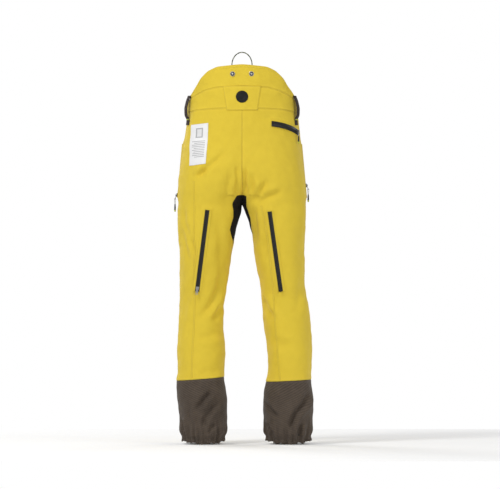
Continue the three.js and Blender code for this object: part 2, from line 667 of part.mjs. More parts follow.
// The direction in which a toggle hangs from its eye: straight down, or just clear of the cloth below it.
function restOn({ place: { side } }, eye) {
  const apart = (u) => onCloth(side, u, eye.z).distanceTo(eye);
  const nearest = steps(200, (t) => lerp(-1, 1, t)).reduce((best, u) => (apart(u) < apart(best) ? u : best));
  const below = eye.clone().setZ(eye.z - TOGGLE.drop - TOGGLE.length);
  const clear = lifted(side, nearest, below.z, TOGGLE.radius + 2 * LAID);
  const short = clear.clone().sub(below).dot(clothNormal(side, nearest, below.z));
  return (short > 0 ? clear : below).sub(eye).normalize();
}

// The frame at a share of a straight run.
function onRun(run, share) {
  const places = run.map(({ place }) => place);
  const place = places[Math.round(share * (places.length - 1))];
  return { ...run[0], place, point: run[0].point.clone().lerp(run.at(-1).point, share) };
}

const tapeTop = LAID + TAPE.thickness;

for (const [side, name] of SIDES) {
  const [[x0, z0], [x1, z1]] = VENT_RUN[side];
  const place = (t) => backPlace(side * lerp(x0, x1, t), lerp(z0, z1, t));
  const run = straightRun(steps(10, place));
  add(`vent_zip_tape_${name}`, ribbon([run[0], run.at(-1)], { ...TAPE, lift: LAID }), COLOUR.tape);
  fitSlider(`vent_${name}`, onRun(run, VENT_SLIDER_AT[side]), { tapeTop, open: 4, tabLength: TAB.length });
}

// The rear pocket's zip falls as it comes round the hip.
const rearPlace = (t) => {
  let z = REAR_RUN.z;
  const x = lerp(REAR_RUN.from, REAR_RUN.to, t);
  const start = onCloth(-1, uOnBack(-1, REAR_RUN.from, REAR_RUN.z), REAR_RUN.z).y;
  for (let pass = 0; pass < 8; pass++) {
    z = REAR_RUN.z - REAR_RUN.fall * (start - onCloth(-1, uOnBack(-1, x, z), z).y);
  }
  return backPlace(-x, z);
};
const rearRun = arcRun(steps(12, rearPlace));
const rearTape = { width: REAR_RUN.width, thickness: TAPE.thickness, lift: REAR_RUN.lift };
add('rear_zip_tape', ribbon(rearRun, rearTape), COLOUR.tape);
fitSlider('rear', rearRun.at(-2), { tapeTop: REAR_RUN.lift + TAPE.thickness, toggle: true });

for (const [side, name] of SIDES) {
  const place = (t) => ({ side, u: HAND_RUN.u, z: lerp(HAND_RUN.top, HAND_RUN.bottom, t) });
  const run = straightRun(steps(8, place));
  const handTape = { ...TAPE, width: HAND_RUN.width, lift: LAID };
  add(`hand_zip_tape_${name}`, ribbon([run[0], run.at(-1)], handTape), COLOUR.tape);
  const held = onRun(run, HAND_SLIDER_AT[side]);
  fitSlider(`hand_${name}`, held, { tapeTop, open: 14, tabLength: 15, toggle: true });
}

// ---- Fly and front fastening ---------------------------------------------------------------------------

const frontPlace = (x, z) => {
  const side = x < 0 ? -1 : 1;
  return { side, u: -uOnBack(side, Math.abs(x), z), z };
};
const flyRun = straightRun(steps(8, (t) => frontPlace(0.001, lerp(FLY.top, FLY.bottom, t)))).map((frame) => {
  const normal = frame.normal.clone().setX(0).normalize();
  return { ...frame, normal, across: frame.along.clone().cross(normal).normalize() };
});
const flyTape = { width: FLY.tapeWidth, thickness: TAPE.thickness, lift: FLY.tapeLift };
add('fly_zip_tape', ribbon(flyRun, flyTape), COLOUR.tape);
fitSlider('fly', flyRun[1], { tapeTop: FLY.tapeLift + TAPE.thickness, open: 2, tabLength: 15 });
add('fly_flap', plate({
  place: (a, b) => frontPlace(
    lerp(-FLY.width * 0.35, FLY.width * 0.65, a), lerp(BAND_BOTTOM.side, FLY.bottom - 8, b),
  ),
  columns: 6, rows: 8, lift: FLY.flapLift, thickness: FABRIC * 0.7,
}), COLOUR.shell);
const TAB_FACE = { left: -34, right: 26, top: 11, bottom: -27, thickness: 2.2 };
add('waist_tab', plate({
  place: (a, b) => frontPlace(lerp(TAB_FACE.left, TAB_FACE.right, a), lerp(TAB_FACE.top, TAB_FACE.bottom, b)),
  columns: 8, rows: 2, lift: FLY.flapLift, thickness: TAB_FACE.thickness,
}), COLOUR.shell);
const waistStudPlace = frontPlace(-16, (TAB_FACE.top + TAB_FACE.bottom) / 2);
seat(
  add('waist_stud', studGeometry({ ...BRACE_STUD, height: 2.6 }), COLOUR.metal, true),
  frameAt(waistStudPlace, { ...waistStudPlace, z: waistStudPlace.z - 1 }),
  FLY.flapLift + TAB_FACE.thickness + 0.5,
);

// ---- Label and pocket bags -----------------------------------------------------------------------------

add('care_label', plate({
  place: (a, b) => backPlace(
    lerp(LABEL.right, LABEL.left, a) + lerp(-2, 6, b), lerp(LABEL.top, LABEL.bottom, b) + lerp(6, 0, a),
  ),
  columns: 5, rows: 6, lift: LAID, thickness: LABEL.thickness,
}), COLOUR.label);
const bagLift = -FABRIC - POCKET_BAG.clearance - POCKET_BAG.thickness;
add('rear_pocket_bag', plate({
  place: (a, b) => ({ side: -1, u: lerp(0.2, 0.66, a), z: lerp(-62, -215, b) }),
  columns: 6, rows: 5, lift: bagLift, thickness: POCKET_BAG.thickness,
}), COLOUR.lining);
for (const [side, name] of SIDES) {
  add(`hand_pocket_bag_${name}`, plate({
    place: (a, b) => ({ side, u: lerp(-0.52, -0.04, a), z: lerp(-120, -285, b) }),
    columns: 6, rows: 5, lift: bagLift, thickness: POCKET_BAG.thickness,
  }), COLOUR.lining);
}

// ---- Thighs --------------------------------------------------------------------------------------------

for (const [side, name] of SIDES) {
  const outer = (sign) => (z) => sign * uStep(side, 0, z, half);
  const top = (u) => cutHeight(side, u, HIP, BODY_GAP / 2);
  const bottom = (u) => cutHeight(side, u, KNEE, -BODY_GAP / 2);
  const cuts = { 0: [HIP, BODY_GAP / 2], 1: [KNEE, -BODY_GAP / 2] };
  add(`thigh_back_${name}`, plate({
    place: panelPlace(side, [outer(1), (z) => innerEdge(side, 'back', z)], [top, bottom]),
    columns: 14, rows: 11, lift: -FABRIC, thickness: FABRIC, cuts,
  }), COLOUR.shell);
  add(`thigh_front_${name}`, plate({
    place: panelPlace(side, [(z) => innerEdge(side, 'front', z), outer(-1)], [top, bottom]),
    columns: 14, rows: 11, lift: -FABRIC, thickness: FABRIC, cuts,
  }), COLOUR.shell);
  const inner = (edge) => (z) => {
    const y = gussetEdge(side, edge, z) + (edge === 'back' ? 1 : -1) * GUSSET_CLOTH.lap;
    const u = uOnInnerLeg(side, y, z);
    return u < 0 ? u + 2 : u;
  };
  const tipZ = CROTCH_Z - (GUSSET_TIP - 0.006) * INSEAM;
  add(`leg_gusset_${name}`, plate({
    place: panelPlace(side, [inner('back'), inner('front')], [top, () => tipZ]),
    columns: 8, rows: 6, lift: -FABRIC - GUSSET_CLOTH.under - GUSSET_CLOTH.thickness,
    thickness: GUSSET_CLOTH.thickness, cuts: { 0: cuts[0] },
  }), COLOUR.gusset);
  add(`thigh_pad_${name}`, plate({
    place: (a, b) => ({ side, u: lerp(-0.66, 0.02, a), z: lerp(CROTCH_Z - 60, CROTCH_Z - 320, b) }),
    columns: 8, rows: 4, lift: -FABRIC - PAD.clearance - PAD.thickness, thickness: PAD.thickness,
  }), COLOUR.lining);
}

// ---- Lower legs ----------------------------------------------------------------------------------------

for (const [side, name] of SIDES) {
  const gaiterTop = (u) => {
    const { outer, inner } = GAITER_TOP[side];
    return CROTCH_Z - INSEAM * lerp(outer, inner, (1 - Math.cos(u * Math.PI)) / 2);
  };
  const round = [() => -1, () => 1];
  const kneeEdge = (u) => cutHeight(side, u, KNEE, BODY_GAP / 2);
  add(`lower_leg_${name}`, plate({
    place: panelPlace(side, round, [kneeEdge, (u) => gaiterTop(u) + half]),
    columns: 24, rows: 4, lift: -FABRIC, thickness: FABRIC, ring: true, cuts: { 0: [KNEE, BODY_GAP / 2] },
  }), COLOUR.shell);
  add(`gaiter_${name}`, plate({
    place: panelPlace(side, round, [(u) => gaiterTop(u) - half, () => HEM_Z]),
    columns: 24, rows: 7, lift: -FABRIC, thickness: FABRIC, ring: true,
  }), COLOUR.gaiter);
  add(`hem_elastic_${name}`, plate({
    place: panelPlace(side, round, [() => HEM_Z + ELASTIC.rise + ELASTIC.width, () => HEM_Z + ELASTIC.rise]),
    columns: 24, rows: 2, lift: -FABRIC - ELASTIC.clearance - ELASTIC.thickness,
    thickness: ELASTIC.thickness, ring: true,
  }), COLOUR.elastic);
}

export default root;
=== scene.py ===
import json
import math

import bpy
import numpy as np
from mathutils import Matrix, Vector


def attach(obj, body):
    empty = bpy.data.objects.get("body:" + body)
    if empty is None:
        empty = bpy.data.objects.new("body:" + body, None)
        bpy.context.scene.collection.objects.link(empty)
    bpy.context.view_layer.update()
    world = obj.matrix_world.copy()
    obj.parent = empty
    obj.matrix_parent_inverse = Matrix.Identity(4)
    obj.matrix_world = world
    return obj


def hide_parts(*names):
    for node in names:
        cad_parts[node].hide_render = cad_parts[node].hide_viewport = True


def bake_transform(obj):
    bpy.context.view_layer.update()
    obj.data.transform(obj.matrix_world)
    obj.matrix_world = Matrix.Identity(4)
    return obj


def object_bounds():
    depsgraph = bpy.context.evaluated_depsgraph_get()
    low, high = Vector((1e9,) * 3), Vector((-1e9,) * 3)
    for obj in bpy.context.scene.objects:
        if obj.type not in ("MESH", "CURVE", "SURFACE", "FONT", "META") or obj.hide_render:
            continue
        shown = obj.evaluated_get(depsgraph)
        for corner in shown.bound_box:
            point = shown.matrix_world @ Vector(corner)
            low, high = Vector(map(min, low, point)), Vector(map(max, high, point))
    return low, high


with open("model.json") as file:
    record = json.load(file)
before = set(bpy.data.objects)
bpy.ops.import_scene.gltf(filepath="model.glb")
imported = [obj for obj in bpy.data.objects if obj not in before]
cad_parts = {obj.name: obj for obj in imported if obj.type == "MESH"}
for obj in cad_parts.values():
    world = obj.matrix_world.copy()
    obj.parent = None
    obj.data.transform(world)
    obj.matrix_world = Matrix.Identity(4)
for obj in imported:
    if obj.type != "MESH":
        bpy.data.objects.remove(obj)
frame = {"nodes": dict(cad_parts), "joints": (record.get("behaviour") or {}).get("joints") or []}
cad_box = [list(corner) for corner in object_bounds()]
scene = bpy.context.scene


def pick(*chosen):
    bpy.ops.object.select_all(action="DESELECT")
    for piece in chosen:
        piece.select_set(True)
    bpy.context.view_layer.objects.active = chosen[0]


# ---- Where the trousers are shown ---------------------------------------------------------
# They stand as if worn, seen square from behind at hip height with a long lens, on a plain pale floor.
# A key light and a fill stand on the seen side, and two softer lights in front.
CAMERA_SPOT, CAMERA_LENS = (-0.0262, 20.0, -0.4585), 436.7
bpy.ops.object.select_all(action="DESELECT")
bpy.ops.object.camera_add(location=CAMERA_SPOT, rotation=(math.pi / 2, 0, math.pi))
camera = bpy.context.object
camera.data.sensor_width = 36
camera.data.lens = CAMERA_LENS
camera.data.clip_end = 60
scene.camera = camera
scene.view_settings.view_transform = "Standard"


class Wire:
    """A shader socket that is written like a number. make() adds any other node behind it."""

    def __init__(self, tree, socket=None):
        self.tree = tree
        self.socket = socket

    def make(self, kind, values=None, out=0, **settings):
        node = self.tree.nodes.new(kind)
        for name, value in settings.items():
            setattr(node, name, value)
        for name, value in (values or {}).items():
            if isinstance(value, Wire):
                self.tree.links.new(value.socket, node.inputs[name])
            else:
                node.inputs[name].default_value = value
        return Wire(self.tree, node.outputs[out])

    def maths(self, operation, first, second=0.0):
        return self.make("ShaderNodeMath", {0: first, 1: second}, operation=operation)

    def __add__(self, other):
        return self.maths("ADD", self, other)

    def __radd__(self, other):
        return self.maths("ADD", other, self)

    def __sub__(self, other):
        return self.maths("SUBTRACT", self, other)

    def __rsub__(self, other):
        return self.maths("SUBTRACT", other, self)

    def __mul__(self, other):
        return self.maths("MULTIPLY", self, other)

    def __rmul__(self, other):
        return self.maths("MULTIPLY", other, self)

    def __truediv__(self, other):
        return self.maths("DIVIDE", self, other)

    def __gt__(self, other):
        return self.maths("GREATER_THAN", self, other)

    def __lt__(self, other):
        return self.maths("LESS_THAN", self, other)

    def wave(self, pitch):
        """From -1 to 1 and back over each pitch."""
        return self.maths("SINE", self * (2 * math.pi / pitch))

    def part(self, pitch):
        """How far through its pitch, from 0 to 1."""
        return self.maths("FRACT", self / pitch)

    def clear(self):
        """Kept from 0 to 1."""
        return self.make("ShaderNodeClamp", {"Value": self})

    def fade(self):
        """1 where this is 0, and less and less as it grows."""
        return self.maths("POWER", math.e, 0 - self)

    def colour(self, low, high):
        """The colour low where this is 0 and high where it is 1."""
        low, high = (c if isinstance(c, Wire) else (*c, 1) for c in (low, high))
        return self.make("ShaderNodeMix", {0: self, 6: low, 7: high}, out=2, data_type="RGBA")

    def bump(self, height, depth, strength=1.0):
        return self.make("ShaderNodeBump", {"Strength": strength, "Distance": depth, "Height": height})

    def place(self):
        return self.make("ShaderNodeTexCoord", out=3)

    def cloth(self):
        """The distance across and along the cloth, in metres."""
        found = self.make("ShaderNodeUVMap", uv_map="cloth")
        split = found.make("ShaderNodeSeparateXYZ", {0: found})
        return split, Wire(self.tree, split.socket.node.outputs[1])

    def mark(self, name):
        return self.make("ShaderNodeAttribute", attribute_name=name, out=2)

    def cloud(self, size, detail=2.0, at=None):
        """Soft patches between 0 and 1, about one size across."""
        at = at or self.place()
        return self.make("ShaderNodeTexNoise", {"Vector": at, "Scale": 1 / size, "Detail": detail})


def new_finish(name, **constants):
    """A material with its shader's steady values set, its shader, and a wire to build on."""
    material = bpy.data.materials.new(name)
    material.use_nodes = True
    shader = material.node_tree.nodes["Principled BSDF"]
    for socket, value in constants.items():
        shader.inputs[socket.replace("_", " ")].default_value = value
    return material, shader, Wire(material.node_tree)


def feed(shader, **wires):
    for socket, wire in wires.items():
        wire.tree.links.new(wire.socket, shader.inputs[socket.replace("_", " ")])


FLOOR_SIZE = 3.2
bpy.ops.object.select_all(action="DESELECT")
bpy.ops.mesh.primitive_plane_add(size=FLOOR_SIZE, location=(0, 0, cad_box[0][2] - 0.001))
floor = bpy.context.object
floor.name = "floor"
floor_paint, shader, wire = new_finish("floor_paint", Roughness=0.9)
feed(shader, Base_Color=wire.cloud(0.4).colour((0.93, 0.93, 0.93), (0.96, 0.96, 0.96)))
floor.data.materials.append(floor_paint)

SKY_LIGHT = 0.52
world = bpy.data.worlds.new("studio")
world.use_nodes = True
sky = world.node_tree.nodes["Background"]
sky.inputs["Color"].default_value = (1, 1, 1, 1)
seen = Wire(world.node_tree).make("ShaderNodeLightPath")  # plain white where it is seen, dimmer as a light
world.node_tree.links.new((seen * (1 - SKY_LIGHT) + SKY_LIGHT).socket, sky.inputs["Strength"])
scene.world = world

LIGHTS = [  # where, how wide, how bright: the key, the fill, and the two in front
    ((1.5, 2.1, 1.9), 0.7, 56),
    ((-2.4, 2.8, 0.0), 1.6, 24),
    ((2.2, -3.4, 1.5), 1.6, 66),
    ((-2.4, -3.0, 0.6), 2.2, 22),
]
LIT_POINT = Vector((0, 0, -0.45))
for spot, width, power in LIGHTS:
    aim = (LIT_POINT - Vector(spot)).to_track_quat("-Z", "Y").to_euler()
    bpy.ops.object.light_add(type="AREA", location=spot, rotation=aim)
    bpy.context.object.data.size = width
    bpy.context.object.data.energy = power


# ---- Hang loop ----------------------------------------------------------------------------
# A length of braided cord, black with pale flecks and painted glints, that the trousers are hung up by.
# Both ends are sewn into the top edge of the high back, and the cord is stiff enough to stand in an arch.
LOOP_HALF = 0.033
LOOP_FOOT = (0.1142, 0.1305)
LOOP_RISE = 0.041
LOOP_WIDTH = 0.0035
BRAID_STRAND = 0.0016
BRAID_LEAN = 0.9


def lengthwise(points):
    """The distance along a row of points, from 0."""
    steps = np.linalg.norm(np.diff(points, axis=0), axis=1)
    return np.concatenate([[0], np.cumsum(steps)])


def grid_piece(name, points, uv, outward, **marks):
    """A sheet of quads over a grid of points, facing outward, with its map in metres and its marks."""
    number = np.arange(points.shape[0] * points.shape[1]).reshape(points.shape[:2])
    corners = [number[:-1, :-1], number[:-1, 1:], number[1:, 1:], number[1:, :-1]]
    quads = np.stack(corners, -1).reshape(-1, 4)
    flat = points.reshape(-1, 3)
    a, b, c = (flat[quads[:, i]] for i in range(3))
    facing = np.cross(b - a, c - b) * outward.reshape(-1, 3)[quads[:, 0]]
    if facing.sum() < 0:
        quads = quads[:, ::-1]
    mesh = bpy.data.meshes.new(name)
    mesh.from_pydata(flat.tolist(), [], quads.tolist())
    mesh.uv_layers.new(name="cloth").data.foreach_set("uv", uv.reshape(-1, 2)[quads.reshape(-1)].ravel())
    for mark, values in marks.items():
        mesh.attributes.new(mark, "FLOAT", "POINT").data.foreach_set("value", values.ravel())
    piece = bpy.data.objects.new(name, mesh)
    scene.collection.objects.link(piece)
    return piece


class Shaping:
    """Edit mode with all of a piece selected, or only the faces that pass a test on their normal."""

    def __init__(self, piece, face_test=None):
        self.piece = piece
        self.face_test = face_test

    def __enter__(self):
        pick(self.piece)
        bpy.ops.object.mode_set(mode="EDIT")
        bpy.ops.mesh.select_all(action="DESELECT" if self.face_test else "SELECT")
        if self.face_test:
            bpy.ops.object.mode_set(mode="OBJECT")
            for polygon in self.piece.data.polygons:
                polygon.select = self.face_test(polygon.normal)
            bpy.ops.object.mode_set(mode="EDIT")
            bpy.ops.mesh.select_mode(type="FACE")

    def __exit__(self, *_):
        bpy.ops.object.mode_set(mode="OBJECT")


def weld(piece):
    with Shaping(piece):
        bpy.ops.mesh.remove_doubles(threshold=1e-6)


def fasten(piece, slot, body, *nodes):
    """What a piece rides on and the nodes it stands for. The slot is not used."""
    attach(piece, body)
    if nodes:
        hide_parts(*nodes)
    return piece


def cord_tube(name, path, radius, plane, sides):
    """A round cord along a path that lies in a plane, closed at its ends."""
    path = np.array(path, float)
    ahead = np.gradient(path, axis=0)
    ahead /= np.linalg.norm(ahead, axis=1)[:, None]
    across = np.cross(ahead, np.array(plane, float))
    across /= np.linalg.norm(across, axis=1)[:, None]
    turn = np.linspace(0, 2 * np.pi, sides + 1)
    out = np.cos(turn)[None, :, None] * across[:, None]
    out = out + np.sin(turn)[None, :, None] * np.cross(across, ahead)[:, None]
    uv = np.stack(np.broadcast_arrays(turn[None] * radius, lengthwise(path)[:, None]), -1)
    tube = grid_piece(name, path[:, None] + radius * out, uv, out)
    weld(tube)
    with Shaping(tube):
        bpy.ops.mesh.fill_holes(sides=0)
    bpy.ops.object.shade_smooth_by_angle(angle=math.radians(50))
    return tube


def braid(name, ground, fleck, shine):
    """Braided cord: two sets of strands wind over each other, and every few strands is of a contrasting colour.
    Near-white spots on the crowns of some strands are a painted highlight.
    """
    material, shader, wire = new_finish(name, Roughness=0.62, Specular_IOR_Level=0.4)
    round_it, along = wire.cloth()
    left, right = along + round_it * BRAID_LEAN, along - round_it * BRAID_LEAN
    strand = wire.maths("SINE", left.part(BRAID_STRAND) * math.pi)
    strand = strand * wire.maths("SINE", right.part(BRAID_STRAND) * math.pi)
    flecked = ((along + round_it * (2 * BRAID_LEAN)).part(0.0115) < 0.22) * (right.part(0.0046) < 0.5)
    # painted highlight: near-white spots on the crowns of some strands
    painted_glint = ((along - round_it * (2 * BRAID_LEAN)).part(0.017) < 0.13) * (strand > 0.2)
    feed(
        shader,
        Base_Color=painted_glint.colour(flecked.colour(ground, fleck), shine),
        Normal=wire.bump(strand, 0.00035, 0.9),
    )
    return material


# the last colour is the cord's painted highlight
loop_cord = braid("loop_cord", (0.012, 0.012, 0.011), (0.42, 0.50, 0.06), (0.72, 0.72, 0.66))
arch = [
    (LOOP_HALF * math.cos(math.pi * t), LOOP_FOOT[0], LOOP_FOOT[1] + LOOP_RISE * math.sin(math.pi * t))
    for t in np.linspace(0, 1, 37)
]
hang_cord = cord_tube("hang_cord", arch, LOOP_WIDTH / 2, (0, 1, 0), 16)
hang_cord.data.materials.append(loop_cord)
fasten(hang_cord, "cord", "hips", "hang_loop")


# ---- The cloth's form ---------------------------------------------------------------------
# The trousers hang filled out, each side in rounded sections down the body: a hip that the two sides
# share above the crotch, and a leg of its own below it. Every panel is cut to this form and then folded.
MM = 0.001
RISE = 325 * MM
INSEAM = 790 * MM
CROTCH = -RISE
HEM = CROTCH - INSEAM
SQUARENESS = 2.2
SIDES = [(1, "left"), (-1, "right")]
TORSO = [  # share of the rise, then millimetres: off centre, half width, middle towards the back, half depth
    (-0.42, 0, 172, 4, 113),
    (0, 0, 180, 0, 118),
    (0.23, 18, 168, 3, 122),
    (0.45, 42, 154, 6, 126),
    (0.62, 62, 141, 8, 127),
    (0.76, 80, 128, 7, 124),
    (0.88, 94, 116, 5, 119),
    (1, 105.5, 105.6, 2, 113),
]
LEGS = [  # share of the inseam: off centre and half width, left and then right; middle and half depth
    (0.03, (107.5, 104), (111, 100.5), 2, 111),
    (0.115, (116, 94.5), (120, 89), 1, 107),
    (0.22, (120, 85), (124, 82), -2, 101),
    (0.34, (127.5, 77.5), (134.5, 74), -6, 94),
    (0.42, (131.5, 73.5), (143, 76), -8, 89),
    (0.52, (135.5, 75.5), (149.5, 77), -7, 86),
    (0.6, (135, 78.5), (155, 74), -3, 87),
    (0.7, (135.5, 77), (156, 71.5), 2, 88),
    (0.74, (136, 80.5), (153, 76.5), 4, 89),
    (0.8, (132, 83), (152.5, 83.5), 5, 92),
    (0.87, (128.5, 81.5), (152, 84), 5, 91),
    (0.96, (126.5, 76.5), (154, 77), 4, 84),
    (1, (126.5, 70), (154.5, 73), 4, 76),
]


def smooth_rows(side):
    """The sizes of one side's sections at any height, on smooth curves through the rows."""
    rows = [(-share * RISE, *sizes) for share, *sizes in TORSO]
    for share, left, right, *depths in LEGS:
        rows.append((CROTCH - share * INSEAM, *(left if side > 0 else right), *depths))
    rows = np.array(sorted(rows))
    heights, sizes = rows[:, 0], rows[:, 1:] * MM
    last = len(heights) - 1

    def at(z):
        z = np.clip(z, heights[0], heights[-1])
        upper = np.clip(np.searchsorted(heights, z, side="right"), 1, last)
        lower = upper - 1
        before = np.where(lower > 0, lower - 1, upper)
        after = np.where(upper < last, upper + 1, lower)
        span = heights[upper] - heights[lower]
        s = (z - heights[lower]) / span
        lead = span / 2 / (heights[lower] - heights[before])
        trail = span / 2 / (heights[after] - heights[upper])
        pulls = [
            (-lead * s**3 + 2 * lead * s**2 - lead * s, before),
            ((1 + lead) * s**3 - (1.5 + 2 * lead) * s**2 + (lead - 0.5) * s + 1, lower),
            ((-1 - trail) * s**3 + (1.5 + trail) * s**2 + 0.5 * s, upper),
            (trail * s**3 - trail * s**2, after),
        ]
        return sum(pull[..., None] * sizes[row] for pull, row in pulls)

    return at


FORM = {1: smooth_rows(1), -1: smooth_rows(-1)}


def rounded(share):
    return np.sign(share) * np.abs(share) ** (2 / SQUARENESS)


def section(side, z):
    """Off centre, half width, middle, half depth, and how far round the form reaches, at a height."""
    side, z = np.broadcast_arrays(side, z)
    sizes = np.where((side > 0)[..., None], FORM[1](z), FORM[-1](z))
    centre, width, middle, depth = np.moveaxis(sizes, -1, 0)
    centre = np.maximum(0, centre)
    short = np.arccos(-(np.minimum(1, centre / width) ** (SQUARENESS / 2)))
    return centre, width, middle, depth, np.where(centre < width, short, np.pi)


def form(side, u, z):
    """A point of the form. u goes from -1 at the front centre or inseam, over 0 at the outside, to 1 behind."""
    side, u, z = np.broadcast_arrays(side, u, z)
    centre, width, middle, depth, reach = section(side, z)
    x = side * (centre + width * rounded(np.cos(u * reach)))
    return np.stack([x, middle + depth * rounded(np.sin(u * reach)), z], -1)


def unit(vectors):
    return vectors / np.maximum(1e-9, np.linalg.norm(vectors, axis=-1, keepdims=True))


def outwards(side, u, z):
    side, u, z = np.broadcast_arrays(side, u, z)
    whole = section(side, z)[4] < np.pi
    low = np.where(whole, np.maximum(-1, u - 0.01), u - 0.01)
    high = np.where(whole, np.minimum(1, u + 0.01), u + 0.01)
    around = form(side, high, z) - form(side, low, z)
    upward = form(side, u, z + 0.002) - form(side, u, z - 0.002)
    return unit(np.cross(around, upward) * side[..., None])


def u_behind(x, z):
    """The side and the u of the back's point at x."""
    x, z = np.broadcast_arrays(np.asarray(x, float), z)
    side = np.where(x < 0, -1, 1)
    centre, width, _, _, reach = section(side, z)
    share = np.clip((np.abs(x) - centre) / width, -1, 1)
    return side, np.arccos(np.sign(share) * np.abs(share) ** (SQUARENESS / 2)) / reach


def u_inside(side, y, z):
    """The u of the inner leg's point at a depth y."""
    _, _, middle, depth, reach = section(side, z)
    share = np.clip((y - middle) / depth, -1, 1)
    angle = np.pi - np.arcsin(np.abs(share) ** (SQUARENESS / 2))
    return np.where(share < 0, -1, 1) * np.minimum(1, angle / reach)


def ease(share):
    share = np.clip(share, 0, 1)
    return share * share * (3 - 2 * share)


def uneven(points, seed, size):
    """Smooth seeded unevenness of about -1 to 1, with hollows of one size."""
    seeded = np.random.default_rng(seed)
    total = 0
    for _ in range(7):
        way = unit(seeded.normal(size=3)) * 2 * np.pi / (size * seeded.uniform(0.7, 1.5))
        total = total + np.sin(points @ way + seeded.uniform(0, 2 * np.pi))
    return total / 3


# Zips lie on straight lines, or on one arc, that just clear the form.
VENT_RUN = {1: ((113, -345), (147, -612)), -1: ((91, -350), (128, -612))}
HAND_U = -0.09
HAND_TOP, HAND_BOTTOM = -128 * MM, -305 * MM
REAR_FROM, REAR_TO, REAR_Z, REAR_FALL = 96 * MM, 184 * MM, -63 * MM, 0.4
FLY_TOP, FLY_BOTTOM = 4 * MM, -178 * MM


class Run:
    """A zip's line: points just clear of the form, with the ways along, across and out of the cloth."""

    def __init__(self, side, u, z, arc=False):
        side, u, z = np.broadcast_arrays(side, u, z)
        base = form(side, u, z)
        half = len(base) // 2
        if arc:
            a, b, c = base[0], base[half], base[-1]
            ab, ac = b - a, c - a
            axis = np.cross(ab, ac)
            twist = 2 * axis @ axis
            centre = a + np.cross(axis, ab) * (ac @ ac) / twist + np.cross(ac, axis) * (ab @ ab) / twist
            axis = unit(axis)
            spokes = base - centre
            spokes -= (spokes @ axis)[:, None] * axis
            self.out = unit(spokes)
            self.points = centre + self.out * np.linalg.norm(spokes, axis=1).max()
            self.along = np.cross(axis, self.out)
        else:
            ahead = unit(base[-1] - base[0])
            across = unit(np.cross(unit(base[-1] - base[half]), outwards(side[half], u[half], z[half])))
            across = unit(np.cross(ahead, np.cross(across, unit(base[-1] - base[half]))))
            out = np.cross(across, ahead)
            rise = ((base - base[0]) @ out).max()
            share = (base - base[0]) @ ahead
            self.points = base[0] + share[:, None] * ahead + rise * out
            self.out = np.repeat(out[None], len(base), 0)
            self.along = np.repeat(ahead[None], len(base), 0)
        self.across = np.cross(self.along, self.out)
        self.clearance = ((self.points - base) * self.out).sum(1)

    def near(self, points):
        """For each point: its place along the run, its distance across it, and if it lies near it."""
        every = max(1, len(self.points) // 30)
        nearest = np.linalg.norm(points[..., None, :] - self.points[::every], axis=-1).argmin(-1) * every
        gap = points - self.points[nearest]
        across = (gap * self.across[nearest]).sum(-1)
        out = (gap * self.out[nearest]).sum(-1)
        along = lengthwise(self.points)[nearest] + (gap * self.along[nearest]).sum(-1)
        return along, across, np.abs(out) < 0.04


def vent_run(side):
    (x0, z0), (x1, z1) = VENT_RUN[side]
    t = np.linspace(0, 1, 91)
    z = (z0 + (z1 - z0) * t) * MM
    own, u = u_behind(side * (x0 + (x1 - x0) * t) * MM, z)
    return Run(own, u, z)


def rear_run():
    x = np.linspace(REAR_FROM, REAR_TO, 61)
    z = np.full(61, REAR_Z)
    start = form(*(v[0] for v in (*u_behind(-x, z), z)))[1]
    for _ in range(8):
        z = REAR_Z - REAR_FALL * (start - form(*u_behind(-x, z), z)[:, 1])
    return Run(*u_behind(-x, z), z, arc=True)


ZIPS = {f"vent_{name}": vent_run(side) for side, name in SIDES}
ZIPS["rear"] = rear_run()
for side, name in SIDES:
    ZIPS[f"hand_{name}"] = Run(side, HAND_U, np.linspace(HAND_TOP, HAND_BOTTOM, 61))
fly_z = np.linspace(FLY_TOP, FLY_BOTTOM, 61)
ZIPS["fly"] = Run(1, -u_behind(1e-6, fly_z)[1], fly_z)

